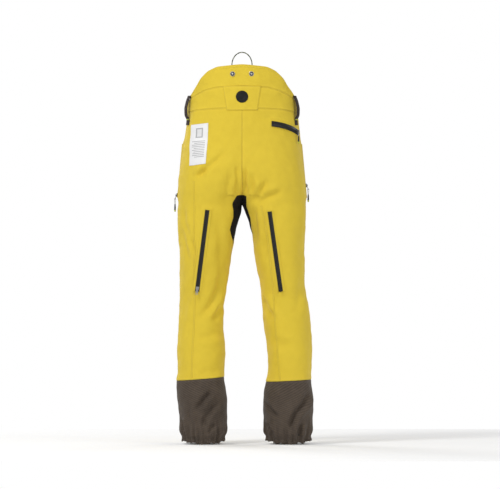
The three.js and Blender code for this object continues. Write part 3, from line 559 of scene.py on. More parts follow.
# Folds are valleys along lines over the back (1) or the front (-1): millimetres (x, z), depth and width.
FOLDS = [
    (1, [(160, -246), (120, -214), (84, -184), (52, -150)], 6.5, 9.5),
    (1, [(156, -238), (136, -226), (115, -208)], 5.7, 8.5),
    (1, [(-33, -330), (-58, -290), (-86, -241)], 9.2, 10.4),
    (1, [(-40, -333), (-90, -300), (-142, -280)], 7.5, 11.4),
    (1, [(16, -190), (15, -240), (20, -300)], 6.5, 6.6),
    (1, [(-7, -196), (-10, -250), (-12, -300)], 7.2, 6.6),
    (1, [(34, -215), (46, -275), (52, -330)], 5.7, 11.4),
    (1, [(-26, -222), (-34, -262), (-38, -320)], 5.1, 7.6),
    (1, [(197, -325), (190, -390), (172, -446)], 6.5, 9.5),
    (1, [(205, -392), (192, -450), (172, -520)], 6.5, 8.5),
    (1, [(178, -432), (158, -470), (152, -512)], 4.5, 8.5),
    (1, [(82, -360), (72, -430), (66, -500), (62, -560)], 6.5, 15.2),
    (1, [(58, -520), (72, -600), (102, -660), (150, -708)], 10.8, 12.3),
    (1, [(66, -652), (84, -690), (98, -712)], 8.2, 9.5),
    (1, [(70, -742), (110, -762), (150, -768)], 5.1, 13.3),
    (1, [(-36, -330), (-42, -400), (-48, -470)], 7.5, 9.5),
    (1, [(-60, -350), (-70, -440), (-78, -520)], 4.5, 14.2),
    (1, [(-62, -628), (-80, -668), (-104, -712)], 9.2, 10.4),
    (1, [(-205, -560), (-186, -640), (-176, -700)], 5.7, 14.2),
    (1, [(-90, -760), (-130, -788), (-180, -790)], 5.1, 14.2),
    (1, [(176, -600), (190, -660), (196, -720)], 5.1, 12.3),
    (1, [(60, -855), (100, -880), (150, -884)], 4.0, 15.2),
    (-1, [(20, -300), (50, -262), (96, -236)], 8.2, 10.4),
    (-1, [(-20, -300), (-52, -258), (-100, -240)], 8.2, 10.4),
    (-1, [(36, -335), (78, -318), (130, -312)], 7.2, 11.4),
    (-1, [(-36, -335), (-80, -322), (-134, -308)], 7.2, 11.4),
    (-1, [(10, -215), (14, -262), (12, -310)], 6.1, 7.6),
    (-1, [(-12, -225), (-16, -268), (-12, -312)], 6.1, 7.6),
    (-1, [(70, -640), (110, -662), (170, -656)], 7.5, 12.3),
    (-1, [(80, -722), (130, -742), (186, -730)], 7.2, 12.3),
    (-1, [(-82, -636), (-130, -660), (-196, -648)], 7.5, 12.3),
    (-1, [(-88, -726), (-140, -746), (-210, -728)], 7.2, 12.3),
    (-1, [(188, -420), (176, -500), (180, -570)], 5.7, 13.3),
    (-1, [(-190, -430), (-180, -510), (-190, -580)], 5.7, 13.3),
    (1, [(90, -935), (114, -955), (142, -988), (150, -1010)], 13.0, 8.1),
    (1, [(64, -968), (92, -992), (122, -1030), (134, -1076)], 9.4, 8.1),
    (1, [(82, -1048), (102, -1060), (112, -1090)], 7.4, 6.0),
    (1, [(206, -1030), (198, -1062), (190, -1086)], 8.2, 6.5),
    (1, [(174, -970), (174, -1010), (160, -1080)], 3.0, 6.0),
    (1, [(-228, -925), (-208, -982), (-178, -1012), (-160, -1052), (-150, -1096)], 15.8, 8.9),
    (1, [(-70, -970), (-92, -1004), (-124, -1030)], 9.4, 7.3),
    (1, [(-64, -1042), (-90, -1074), (-108, -1094)], 8.5, 6.5),
    (1, [(-196, -1040), (-190, -1070), (-192, -1100)], 6.4, 6.0),
    (-1, [(80, -960), (120, -990), (180, -1010)], 9.4, 8.9),
    (-1, [(-90, -980), (-140, -1010), (-210, -1000)], 9.4, 8.9),
    (-1, [(100, -1040), (118, -1080), (120, -1104)], 7.4, 6.5),
    (-1, [(-130, -1040), (-146, -1080), (-150, -1104)], 7.4, 6.5),
]


def folds(points, out):
    """How far folds push the cloth in or out. Each is a valley with a low ridge along one side."""
    height = np.zeros(points.shape[:-1])
    x, z = points[..., 0] / MM, points[..., 2] / MM
    for face, line, depth, width in FOLDS:
        line = np.array(line, float)
        reach = lengthwise(line)
        best = np.full(x.shape, 1e9)
        across = np.zeros(x.shape)
        share = np.zeros(x.shape)
        for (ax, az), (bx, bz), begun in zip(line[:-1], line[1:], reach):
            dx, dz = bx - ax, bz - az
            t = np.clip(((x - ax) * dx + (z - az) * dz) / (dx * dx + dz * dz), 0, 1)
            gap = np.hypot(x - ax - t * dx, z - az - t * dz)
            nearer = gap < best
            side = np.sign((x - ax) * dz - (z - az) * dx)
            across = np.where(nearer, gap * side, across)
            share = np.where(nearer, (begun + t * math.hypot(dx, dz)) / reach[-1], share)
            best = np.minimum(best, gap)
        ends = ease(share * 3.2) * ease((1 - share) * 3.2) * np.exp(-((best / (width * 3.5)) ** 4))
        ridge_place, ridge_width = 1.9 * width, 1.25 * width
        low_ridge = 0.55 * np.exp(-(((across - ridge_place) / ridge_width) ** 2))
        valley = low_ridge - np.exp(-((across / width) ** 2))
        height += depth * MM * valley * ends * ease(out[..., 1] * face * 3)
    return height


HOLLOWS = [(0.0017, 3, 0.11), (0.0008, 4, 0.042)]  # how deep, the seed, and how wide
GROUND_WIDTH, GROUND_END, GROUND_LIFT = 0.016, 0.02, 0.0007  # the level ground beside, past and over a zip


def drape(points, out):
    """How far the cloth hangs off its form: unevenness, folds, and level ground under each zip."""
    height = sum(deep * uneven(points, seed, wide) for deep, seed, wide in HOLLOWS) + folds(points, out)
    for run in ZIPS.values():
        along, across, close = run.near(points)
        reach = lengthwise(run.points)
        flat = ease(1.55 - np.abs(across) / GROUND_WIDTH) * ease(1 + along / GROUND_END)
        flat = flat * ease(1 + (reach[-1] - along) / GROUND_END) * close
        height = height * (1 - flat) + flat * (np.interp(along, reach, run.clearance) + GROUND_LIFT)
    return height


def spread(span, step):
    """Even shares of a span, with closer ones near its ends for the dip of a seam."""
    even = np.linspace(0, 1, max(2, math.ceil(span / step)) + 1)
    fine = np.array([0.0012, 0.0026, 0.0045]) / span
    return np.unique(np.concatenate([even, fine, 1 - fine]))


STEP = 0.004  # between the cloth's points
SEAM_DIP_WIDTH = 0.0024


class Cut:
    """A cut of cloth: a grid of places laid on the form and draped. Sewn edges dip into their seams."""

    def __init__(self, side, u, z, sewn="", lift=0.0, dip=0.0009, draped=True):
        side, u, z = np.broadcast_arrays(side, u, z)
        base = form(side, u, z)
        self.out = outwards(side, u, z)
        steps = np.linalg.norm(np.diff(base, axis=1), axis=-1)
        self.across = np.pad(np.cumsum(steps, 1), ((0, 0), (1, 0)))
        steps = np.linalg.norm(np.diff(base, axis=0), axis=-1)
        self.down = np.pad(np.cumsum(steps, 0), ((1, 0), (0, 0)))
        borders = {
            "a": self.across,
            "b": self.across[:, -1:] - self.across,
            "t": self.down,
            "d": self.down[-1:] - self.down,
        }
        self.edge = np.full(u.shape, 0.05)
        for border in sewn:
            self.edge = np.minimum(self.edge, borders[border])
        height = lift + (drape(base, self.out) if draped else 0)
        height = height - dip * np.exp(-((self.edge / SEAM_DIP_WIDTH) ** 2))
        self.points = base + self.out * np.asarray(height)[..., None]
        whole = section(side, z)[4] < np.pi
        middle = whole & (np.abs(u) > 0.9999)
        self.points[..., 0] = np.where(middle, 0, self.points[..., 0])
        self.uv = np.stack([self.across, z], -1)

    def beside(self, border, gap):
        """The line on the cloth at a distance in from a border, with the way out of the cloth."""
        spans = {"a": self.across, "b": self.across, "t": self.down.T, "d": self.down.T}[border]
        points, out = self.points, self.out
        if border in "td":
            points, out = points.swapaxes(0, 1), out.swapaxes(0, 1)
        found = []
        for span, row, normal in zip(spans, points, out):
            at = gap if border in "at" else span[-1] - gap
            if span[-1] > gap:
                found.append([np.interp(at, span, c) for c in (*row.T, *normal.T)])
        found = np.array(found)
        return found[:, :3], unit(found[:, 3:])

    def all_round(self, gap):
        return [self.beside(border, gap) for border in "abtd"]


def walled(piece, wall, angle, material):
    """A sheet given its own thickness, on the inside, and its finish."""
    pick(piece)
    solid = piece.modifiers.new("wall", "SOLIDIFY")
    solid.thickness = wall
    solid.offset = -1
    bpy.ops.object.modifier_apply(modifier="wall")
    bpy.ops.object.shade_smooth_by_angle(angle=math.radians(angle))
    piece.data.materials.append(material)
    return piece


def make_cloth(name, cut, material, wall=0.0016, ring=False):
    """The cut as a sheet with a wall. A ring is closed round the leg or the patch."""
    piece = grid_piece(name, cut.points, cut.uv, cut.out, edge=cut.edge)
    if ring:
        weld(piece)
    return walled(piece, wall, 52, material)


def pattern(side, across, down, span, drop):
    """A cut's places between two limits of u, by height, and two heights, by u."""
    a, b = np.meshgrid(spread(span, STEP), spread(drop, STEP * 1.15))
    z = np.full(a.shape, CROTCH)
    for _ in range(10):
        left, right = across[0](z), across[1](z)
        u = left + (right - left) * a
        top, bottom = down[0](u), down[1](u)
        z = top + (bottom - top) * b
    return side, u, z


def stitch_rows(
    name, rows, thread, slot="shell_fabric", body=None, pitch=0.0034, length=0.0025, radius=0.00034, skew=0.0
):
    """Lock stitches along rows of points, each one a short thread that dips into the cloth at its ends."""
    shape = []
    for x in (-0.3 * length, 0.3 * length):
        shape += [(x, 0, radius), (x, radius, 0), (x, 0, -radius), (x, -radius, 0)]
    shape = np.array(shape + [(-0.5 * length, 0, -radius), (0.5 * length, 0, -radius)])
    faces = [[i, (i + 1) % 4, 4 + (i + 1) % 4, 4 + i] for i in range(4)]
    faces += [[(i + 1) % 4, i, 8] for i in range(4)] + [[4 + i, 4 + (i + 1) % 4, 9] for i in range(4)]
    points, polygons = [], []
    for line, out in rows:
        reach = lengthwise(line)

        def on(curve, at):
            return np.array([np.interp(at, reach, c) for c in curve.T])

        for at in np.arange(pitch / 2, reach[-1], pitch):
            ahead = on(line, at + length / 2) - on(line, at - length / 2)
            up = unit(on(out, at))
            across = unit(np.cross(up, ahead))
            ahead = unit(unit(np.cross(across, up)) + skew * across)
            across = np.cross(up, ahead)
            first = len(points) * len(shape)
            points.append(on(line, at) + shape @ np.array([ahead, across, up]) + up * radius * 0.35)
            polygons += [[first + i for i in face] for face in faces]
    mesh = bpy.data.meshes.new(name)
    mesh.from_pydata(np.concatenate(points).tolist(), [], polygons)
    stitches = bpy.data.objects.new(name, mesh)
    scene.collection.objects.link(stitches)
    with Shaping(stitches):
        bpy.ops.mesh.normals_make_consistent(inside=False)
    bpy.ops.object.shade_smooth()
    mesh.materials.append(thread)
    if body:
        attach(stitches, body)
    return stitches


def thread_finish(name, colour):
    """Polyester thread: two plies twisted round each other, with a low sheen."""
    material, shader, wire = new_finish(name, Roughness=0.55, Sheen_Weight=0.2)
    twist = wire.cloud(0.0006)
    tone = [tuple(c * k for c in colour) for k in (0.75, 1.1)]
    feed(shader, Base_Color=twist.colour(*tone), Normal=wire.bump(twist, 0.0001, 0.5))
    return material


# ---- Seat, fronts and legs ----------------------------------------------------------------
# The shell is a yellow stretch softshell, a fine twill that is matt with a slight sheen.
# Back and front panels meet in a stitched seam down each outer side and down the inner leg,
# and a felled seam runs down the back of each leg.
SHELL_YELLOW = (0.785, 0.585, 0.045)
SHELL_SHADE = (0.700, 0.510, 0.036)
SPLIT = -500 * MM  # half way down the thigh, where one cut carries on as the next without a seam
GUSSET_TIP = CROTCH - 0.178 * INSEAM
GUSSET_EDGES = {  # depth of the back and front edge, by share of the inseam; below the tip they are one seam
    1: {
        1: [
            (-0.0405, 30), (-0.0365, 92), (0, 86), (0.017, 82),
            (0.057, 73), (0.106, 76), (0.13, 62), (0.178, 24.2),
        ],
        -1: [(0.02, -58), (0.05, -50), (0.115, -30), (0.178, 23.8)],
    },
    -1: {
        1: [(-0.0405, 30), (-0.0365, 88), (-0.01, 72), (0.01, 57), (0.055, 50), (0.09, 34), (0.178, -23.8)],
        -1: [(0.02, -58), (0.07, -72), (0.115, -68), (0.178, -24.2)],
    },
}
SEAM_SHARE, SEAM_DEPTH, SEAM_HALF = 0.4, 2, 0.2  # where the inner seam below the tip comes to, and its half gap
GUSSET_CREST = -296 * MM


def twill_finish(name, light, dark, pitch, roughness, rib=0.0, depth=0.00028, seam_band_paleness=0.12, fuzz=0.05):
    """A woven cloth: crossing threads, slight unevenness of dye, a paler band about 5 mm in from each sewn edge,
    and painted shade that darkens the seam line itself.
    """
    material, shader, wire = new_finish(
        name, Roughness=roughness, Sheen_Weight=fuzz, Sheen_Roughness=0.45, Specular_IOR_Level=0.28
    )
    across, along = wire.cloth()
    slub = wire.cloud(0.004, 3.0)
    twill = ((across + along * 0.8) + slub * (pitch * 0.5)).wave(pitch)
    warp = (across.wave(pitch * 0.5) * 0.35 + along.wave(pitch * 0.55) * 0.35) + twill * 0.5
    if rib:
        warp = warp * 0.6 + ((along + across * 0.42) + slub * (rib * 0.25)).wave(rib) * 0.7
    dye = wire.cloud(0.16, 3.0) * 0.62 + wire.cloud(0.018, 2.0) * 0.38
    tone = ((dye - 0.5) * 1.5 + 0.5 + warp * (0.42 if rib else 0.10)).clear()
    edge = wire.mark("edge")
    # painted shade: the colour darkens along the seam line itself
    seam = (edge / 0.0016).fade()
    # a paler band about 5 mm in from each sewn edge
    rubbed = ((edge - 0.005) * (edge - 0.005) / 0.000009).fade()
    base = tone.colour(dark, light)
    base = (rubbed * seam_band_paleness).colour(base, tuple(min(1, c * 1.16 + 0.02) for c in light))
    base = (seam * 0.2).clear().colour(base, tuple(c * 0.6 for c in dark))
    feed(
        shader,
        Base_Color=base,
        Roughness=wire.cloud(0.03) * 0.12 + (roughness - 0.06),
        Normal=wire.bump(warp, depth, 0.55),
    )
    return material


shell = twill_finish("shell_twill", SHELL_YELLOW, SHELL_SHADE, 0.0011, 0.78)
shell_thread = thread_finish("shell_thread", (0.50, 0.37, 0.035))


def gusset_depth(side, edge, z):
    shares, depths = zip(*GUSSET_EDGES[side][edge], (SEAM_SHARE, side * SEAM_DEPTH + edge * SEAM_HALF))
    return np.interp((CROTCH - z) / INSEAM, shares, depths) * MM


def inner_edge(side, edge):
    """The panel's edge beside the gusset, or the centre seam above it."""

    def at(z):
        u = u_inside(side, gusset_depth(side, edge, z), z)
        u = np.where(np.sign(u) == edge, u, u + 2 * edge)
        closes = (u * edge >= 1) & (section(side, z)[4] < np.pi)
        return np.where(closes, float(edge), u)

    return at


def band_bottom(u):
    return np.where(u > 0, -31 + 20 * (1 - (1 - u) ** 2), -31) * MM


LEG_LEAN, HIP_BEND_LENGTH = 0.167, 0.15


def hip_bend(piece, side, name):
    """Bakes the piece's placement into its mesh, and works out the leg's lean without using it."""
    ahead = Vector((side * LEG_LEAN, 0, -1)).normalized()
    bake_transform(piece)


def knee_bend(piece, side, name):
    """Bakes the piece's placement into its mesh."""
    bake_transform(piece)


def gaiter_top(side):
    outer, inner = {1: (0.736, 0.72), -1: (0.731, 0.74)}[side]
    return lambda u: CROTCH - INSEAM * (outer + (inner - outer) * (1 - np.cos(u * np.pi)) / 2)


def zero(z):
    return 0 * z


SEAMS_BEHIND = {  # the felled seam down the back of each leg: millimetres (x, z)
    1: [(158, -250), (156, -345), (157, -430), (157, -520), (155, -620), (157, -720), (162, -800), (166, -899)],
    -1: [(-62, -330), (-74, -380), (-86, -450), (-98, -560), (-108, -680), (-116, -790), (-125, -905)],
}


def lay_along(line, lift, count):
    """Points along a line over the draped back, lifted off the cloth, with the ways across and out."""
    line = np.array(line, float) * MM
    reach = lengthwise(line)
    at = np.linspace(0, reach[-1], count)
    x, z = np.interp(at, reach, line[:, 0]), np.interp(at, reach, line[:, 1])
    for _ in range(2):
        x = np.convolve(np.pad(x, 6, mode="edge"), np.ones(13) / 13, mode="valid")
    side, u = u_behind(x, z)
    base, out = form(side, u, z), outwards(side, u, z)
    points = base + out * (drape(base, out) + lift)[:, None]
    ahead = unit(np.gradient(points, axis=0))
    return points, unit(np.cross(ahead, out)), out


def ribbon(name, points, across, out, profile, material, wall=0.0008):
    """A narrow strip along a line. The profile gives its height at each distance across."""
    offsets, heights = np.array(profile).T * MM
    rows = points[:, None] + offsets[None, :, None] * across[:, None] + heights[None, :, None] * out[:, None]
    uv = np.stack(np.broadcast_arrays(offsets[None], lengthwise(points)[:, None]), -1)
    normal = np.repeat(out[:, None], len(offsets), 1)
    edge = np.broadcast_to(np.minimum(offsets - offsets[0], offsets[-1] - offsets), rows.shape[:2])
    return walled(grid_piece(name, rows, uv, normal, edge=np.ascontiguousarray(edge)), wall, 55, material)


FELL = [(-3.4, -0.9), (-2.9, 0.1), (-2.2, 0.45), (0, 0.5), (2.2, 0.45), (2.9, 0.1), (3.4, -0.9)]
FELL_ROW = 0.0021
EDGE_ROW, SEAM_ROWS = 0.0022, (0.002, 0.008)


def shell_panel(label, cut, bend, side, name, *nodes):
    """A panel of the shell, with the nodes it stands for hidden and its placement baked into its mesh."""
    piece = make_cloth(f"{label}_{name}", cut, shell)
    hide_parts(*nodes)
    bend(piece, side, name)


for side, name in SIDES:
    back = [zero, inner_edge(side, 1)]
    front = [inner_edge(side, -1), zero]
    upper = [band_bottom, lambda u: SPLIT + 0 * u]
    lower = [lambda u: SPLIT + 0 * u, gaiter_top(side)]
    seat = Cut(*pattern(side, back, upper, 0.30, 0.48), sewn="abt", dip=0.0006)
    shell_panel("seat_cloth", seat, hip_bend, side, name, f"seat_{name}")
    hip_front = Cut(*pattern(side, front, upper, 0.30, 0.48), sewn="abt")
    shell_panel("front_cloth", hip_front, hip_bend, side, name, f"hip_front_{name}")
    leg_back = Cut(*pattern(side, back, lower, 0.26, 0.41), sewn="abd")
    shell_panel("leg_back_cloth", leg_back, knee_bend, side, name, f"thigh_back_{name}", f"lower_leg_{name}")
    leg_front = Cut(*pattern(side, front, lower, 0.26, 0.41), sewn="abd")
    shell_panel("leg_front_cloth", leg_front, knee_bend, side, name, f"thigh_front_{name}")

    # Twin stitching on the back's side of the outer seam, along the seat seam and above the gaiter.
    rows = [seat.beside("a", gap) for gap in SEAM_ROWS] + [seat.beside(border, EDGE_ROW) for border in "bt"]
    rows += [hip_front.beside(border, EDGE_ROW) for border in "ta"]
    hip_bend(stitch_rows(f"seat_stitching_{name}", rows, shell_thread), side, name)
    rows = [leg_back.beside("a", gap) for gap in SEAM_ROWS] + [leg_back.beside("d", EDGE_ROW)]
    rows += [leg_front.beside("d", EDGE_ROW), leg_back.beside("b", EDGE_ROW)]
    knee_bend(stitch_rows(f"leg_stitching_{name}", rows, shell_thread), side, name)

    points, across, out = lay_along(SEAMS_BEHIND[side], 0.0002, 190)
    above = points[:, 2] > SPLIT
    for part, keep, bend in [("upper", above, hip_bend), ("lower", np.roll(~above, -1), knee_bend)]:
        strip = ribbon(f"back_seam_{part}_{name}", points[keep], across[keep], out[keep], FELL, shell)
        bend(strip, side, name)
        level = points[keep] + out[keep] * 0.0005
        rows = [(level + across[keep] * gap, out[keep]) for gap in (-FELL_ROW, FELL_ROW)]
        bend(stitch_rows(f"back_seam_stitches_{part}_{name}", rows, shell_thread), side, name)


# ---- Gusset -------------------------------------------------------------------------------
# A black stretch-knit saddle let in at the crotch, with a tongue down each inner leg to the thigh.
# It is two pieces that meet on a ridge between the legs, flush with the panels beside them.
gusset_knit = twill_finish(
    "gusset_knit", (0.007, 0.006, 0.006), (0.004, 0.003, 0.003), 0.0014, 0.9, seam_band_paleness=0.01, fuzz=0.0
)


def ridge(y):
    """The height at which the two legs part, at a depth."""
    low, high = np.full(np.shape(y), CROTCH - 0.03), np.full(np.shape(y), CROTCH + RISE * 0.5)
    for _ in range(30):
        z = (low + high) / 2
        centre, width, middle, depth, _ = section(1, z)
        bulge = np.maximum(0, 1 - np.abs((y - middle) / depth) ** SQUARENESS)
        apart = centre - width * bulge ** (1 / SQUARENESS) > 0
        low, high = np.where(apart, z, low), np.where(apart, high, z)
    return (low + high) / 2


for side, name in SIDES:
    a, b = np.meshgrid(spread(0.12, STEP), spread(0.15, STEP))
    z = np.full(a.shape, CROTCH)
    for _ in range(12):
        rear, fore = gusset_depth(side, 1, z), gusset_depth(side, -1, z)
        y = rear + (fore - rear) * a
        top = np.minimum(ridge(y), GUSSET_CREST)
        z = top + (GUSSET_TIP + 0.0005 - top) * b
    u = u_inside(side, y, z)
    cut = Cut(side, np.where(u < 0, u + 2, u), z, sewn="ab", dip=0.0011)
    on_ridge = ridge(y[0]) <= GUSSET_CREST
    cut.points[0, on_ridge, 0] = 0
    piece = make_cloth(f"gusset_cloth_{name}", cut, gusset_knit)
    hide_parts(f"leg_gusset_{name}", "crotch_gusset")
    hip_bend(piece, side, name)


# ---- Gaiters and hems ---------------------------------------------------------------------
# Tough brown ballistic cloth with a fine diagonal rib, sewn on below the shell.
# A woven elastic in the hem gathers it into small pleats, with three rows of stitching through them.
GAITER_BROWN = (0.105, 0.080, 0.060)
GAITER_DARK = (0.052, 0.038, 0.028)
ELASTIC_TOP = HEM + 26 * MM
ELASTIC_BOTTOM = HEM + 4 * MM
ballistic = twill_finish(
    "gaiter_ballistic", GAITER_BROWN, GAITER_DARK, 0.0026, 0.82, rib=0.0072, depth=0.0009, seam_band_paleness=0.2, fuzz=0.04
)
gaiter_thread = thread_finish("gaiter_thread", (0.060, 0.046, 0.034))


PLEAT_DEPTH, CINCH_DEPTH, RUFFLE_DEPTH = 0.0040, 0.0034, 0.0005
HEM_RISE = 0.009


def pleated(side, u, z):
    """The gathers at the hem: pleats that fade upwards, with the cloth cinched at the elastic."""
    seeded = np.random.default_rng(20 + side)
    turn = u * np.pi
    pleats = 0
    for count in (11, 14, 19, 24, 31):
        pleats = pleats + np.cos(count * turn + seeded.uniform(0, 6.283)) / 2.2
    sharp = np.sign(pleats) * np.abs(pleats) ** 0.75
    up = z - HEM
    held = np.exp(-(((up - 0.015) / 0.011) ** 2))
    fade = np.where(up < 0.03, 1, np.exp(-(((up - 0.03) / 0.034) ** 2)))
    ruffle = np.cos(61 * turn + 3 * np.sin(5 * turn)) * RUFFLE_DEPTH * np.exp(-((up / 0.026) ** 4))
    return PLEAT_DEPTH * sharp * fade * (1 - 0.35 * held) - CINCH_DEPTH * held - 0.0012 + ruffle


def hem_rise(u, z):
    """The hem rises at the sides of the foot and sits low in front and behind."""
    return HEM_RISE * np.cos(np.pi * u) ** 2 * ease(1 - (z - HEM) / 0.12)


elastic_weave = twill_finish(
    "hem_elastic_weave", (0.03, 0.03, 0.03), (0.012, 0.012, 0.012), 0.0009, 0.7, rib=0.0016
)

for side, name in SIDES:
    a, b = np.meshgrid(np.linspace(0, 1, 281), spread(0.20, STEP * 0.75))
    u = 2 * a - 1
    top = gaiter_top(side)(u)
    z = top + (HEM - top) * b
    wave = 0.0022 * np.cos(9 * np.pi * u + 2) + 0.0008 * np.cos(23 * np.pi * u)
    shape = Cut(side, u, z, sewn="t", lift=pleated(side, u, z))
    shape.points[..., 2] += (wave * 0.8 + 0.001) * ease(1 - (z - HEM) / 0.03) + hem_rise(u, z)
    shape.points[:, -1] = shape.points[:, 0]
    gaiter = make_cloth(f"gaiter_cloth_{name}", shape, ballistic, wall=0.0014, ring=True)
    fasten(gaiter, "gaiter_fabric", f"shin_{name}", f"gaiter_{name}")
    drop = shape.down[-1].mean()
    rows = [shape.beside("t", gap) for gap in (EDGE_ROW, 0.008, drop - 0.005, drop - 0.0125, drop - 0.020)]
    stitch_rows(f"gaiter_stitching_{name}", rows, gaiter_thread, "gaiter_fabric", f"shin_{name}")

    a, b = np.meshgrid(np.linspace(0, 1, 141), np.linspace(0, 1, 9))
    u = 2 * a - 1
    z = ELASTIC_TOP + (ELASTIC_BOTTOM - ELASTIC_TOP) * b
    inner = Cut(side, u, z, lift=pleated(side, u, z) * 0.4 - 0.0062, draped=False)
    inner.points[..., 2] += hem_rise(u, z) + 0.003
    inner.points[:, -1] = inner.points[:, 0]
    elastic = make_cloth(f"hem_elastic_band_{name}", inner, elastic_weave, wall=0.0012, ring=True)
    fasten(elastic, "elastic", f"shin_{name}", f"hem_elastic_{name}")


# ---- Linings and pads ---------------------------------------------------------------------
# Thin pale pocket bags hang inside the hips, and a quilted protective pad lies inside each thigh front.
lining = twill_finish("pocket_lining", (0.62, 0.60, 0.54), (0.52, 0.50, 0.45), 0.0012, 0.85)


def lay_inside(name, side, us, zs, inset, wall, crown=None):
    a, b = np.meshgrid(np.linspace(0, 1, 36), np.linspace(0, 1, 40))
    u = us[0] + (us[1] - us[0]) * a
    z = (zs[0] + (zs[1] - zs[0]) * b) * MM
    lift = -inset * MM + (crown(a, b) if crown else 0.0004 * np.cos(5 * a + 4 * b))
    return make_cloth(name, Cut(side, u, z, lift=lift, draped=False), lining, wall=wall * MM)


def quilt(a, b):
    """Crowned channels between rows of quilting, thin at the pad's edges."""
    channel = 1.0
    for lean in (0.6, -0.6):
        channel = channel * np.abs(np.sin(5 * np.pi * (a + lean * b))) ** 0.5
    rim = ease(a * 14) * ease((1 - a) * 14) * ease(b * 16) * ease((1 - b) * 16)
    return 0.0016 * channel * rim - 0.0012


bag = lay_inside("rear_pocket_lining", -1, (0.2, 0.66), (-62, -215), 6.4, 0.9)
fasten(bag, "lining", "hips", "rear_pocket_bag")
for side, name in SIDES:
    bag = lay_inside(f"hand_pocket_lining_{name}", side, (-0.52, -0.04), (-120, -285), 6.6, 0.9)
    fasten(bag, "lining", "hips", f"hand_pocket_bag_{name}")
    pad = lay_inside(f"thigh_pad_quilt_{name}", side, (-0.66, 0.02), (-385, -628), 9.0, 4.4, crown=quilt)
    hip_bend(pad, side, name)
    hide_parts(f"thigh_pad_{name}")


# ---- Waistband and high back --------------------------------------------------------------
# A shaped band of doubled shell, higher behind than in front, with the high back rising in a dome above it.
# The edges are turned and stitched down.
BAND_TOP = [(0, 14), (0.2, 19), (0.42, 36), (0.58, 49), (0.72, 57), (1, 61)]
RISER_TOP = [(0, 15), (0.17, 27), (0.36, 62), (0.46, 87), (0.58, 111), (0.71, 125), (1, 133)]
RISER_END = 0.2
FRONT_TOP, FRONT_DROP = 14, 45
BAND_WALL = 0.0026


def height_line(rows):
    """A smooth height by u, through rows of u and millimetres."""
    us, heights = np.array(rows, float).T
    fine = np.linspace(-0.3, 2.3, 521)
    level = np.interp(1 - np.abs(1 - fine), us, heights)
    soft = np.exp(-((np.arange(-12, 13) / 6.0) ** 2))
    level = np.convolve(np.pad(level, 12, mode="edge"), soft / soft.sum(), mode="valid")
    return lambda u: np.interp(u, fine, level) * MM


def hip_cloth(name, cut, node, wall=BAND_WALL):
    """A piece of doubled shell that stays with the hips."""
    fasten(make_cloth(name, cut, shell, wall=wall), "shell_fabric", "hips", node)


band_top, riser_top = height_line(BAND_TOP), height_line(RISER_TOP)

a, b = np.meshgrid(spread(0.62, STEP), spread(0.06, STEP * 0.7))
share = 2 * a - 1
u = 1 - np.abs(share)
top, bottom = band_top(u), band_bottom(u)
band = Cut(np.where(share < 0, -1, 1), u, top + (bottom - top) * b, sewn="abtd", lift=0.0006)
hip_cloth("back_band_cloth", band, "waistband_back")
rows = [band.beside(border, EDGE_ROW) for border in "tdab"]

for side, name in SIDES:
    a, b = np.meshgrid(spread(0.30, STEP), spread(0.045, STEP * 0.7))
    front_band = Cut(side, a - 1, (FRONT_TOP - FRONT_DROP * b) * MM, sewn="bd", lift=0.0006)
    hip_cloth(f"front_band_cloth_{name}", front_band, f"waistband_front_{name}")
    rows += [front_band.beside(*row) for row in (("t", EDGE_ROW), ("t", 0.0075), ("d", EDGE_ROW))]

a, b = np.meshgrid(spread(0.5, STEP), spread(0.07, STEP * 0.8))
share = (2 * a - 1) * (1 - RISER_END)
u = 1 - np.abs(share)
top, bottom = riser_top(u), band_top(u)
riser = Cut(np.where(share < 0, -1, 1), u, top + (bottom - top) * b, sewn="d")
riser.points -= riser.out * (0.0012 * np.exp(-((riser.down / 0.0018) ** 2)))[..., None]
hip_cloth("high_back_cloth", riser, "back_riser")
rows += [riser.beside(*row) for row in (("t", 0.0025), ("t", 0.0085), ("d", EDGE_ROW))]
stitch_rows("band_stitching", rows, shell_thread, body="hips")


# ---- Badge --------------------------------------------------------------------------------
# A stiffened trapezium of the shell, topstitched over the band, with a plain round moulded patch.
BADGE_TOP, BADGE_BOTTOM, BADGE_WIDE, BADGE_NARROW = 62, -19, 63, 51
BADGE_ROW = 0.0026
PATCH_Z, PATCH_RADIUS = 26 * MM, 20 * MM


def over_back(x, z, lift, sewn="", dip=0.0013):
    side, u = u_behind(x, z)
    return Cut(side, u, z, sewn=sewn, lift=lift, dip=dip)


a, b = np.meshgrid(spread(0.12, 0.003), spread(0.081, 0.003))
wide = (BADGE_WIDE + (BADGE_NARROW - BADGE_WIDE) * b) * MM
badge = over_back((2 * a - 1) * wide, (BADGE_TOP + (BADGE_BOTTOM - BADGE_TOP) * b) * MM, 0.0026, "abtd", 0.0010)
badge.points += badge.out * (0.0007 * ease(badge.edge / 0.012))[..., None]
hip_cloth("badge_cloth", badge, "badge_panel", wall=0.0024)
stitch_rows("badge_stitching", badge.all_round(BADGE_ROW), shell_thread, body="hips")

patch_rubber, shader, wire = new_finish("patch_rubber", Roughness=0.5, Specular_IOR_Level=0.25)
grain = wire.cloud(0.0007, 3.0)
feed(
    shader,
    Base_Color=wire.cloud(0.01).colour((0.005, 0.005, 0.005), (0.012, 0.012, 0.011)),
    Roughness=grain * 0.25 + 0.38,
    Normal=wire.bump(grain, 0.00012, 0.6),
)
ring, turn = np.meshgrid(np.linspace(0, 1, 41), np.linspace(0, 2 * np.pi, 97), indexing="ij")
ring = np.maximum(ring, 0.002)
step = 0.0042 + 0.0010 * ease((1 - ring) / 0.03)
for inner, outer in ((0.70, 0.80), (0.36, 0.46)):  # two sunk rings
    step = step - 0.0006 * (ease((ring - inner) / 0.02) - ease((ring - outer) / 0.02))
x, z = ring * PATCH_RADIUS * np.cos(turn), PATCH_Z + ring * PATCH_RADIUS * np.sin(turn)
patch = over_back(x, z, step)
patch.points[:, -1] = patch.points[:, 0]
fasten(make_cloth("badge_patch", patch, patch_rubber, wall=0.0010, ring=True), "emblem", "hips", "badge_emblem")


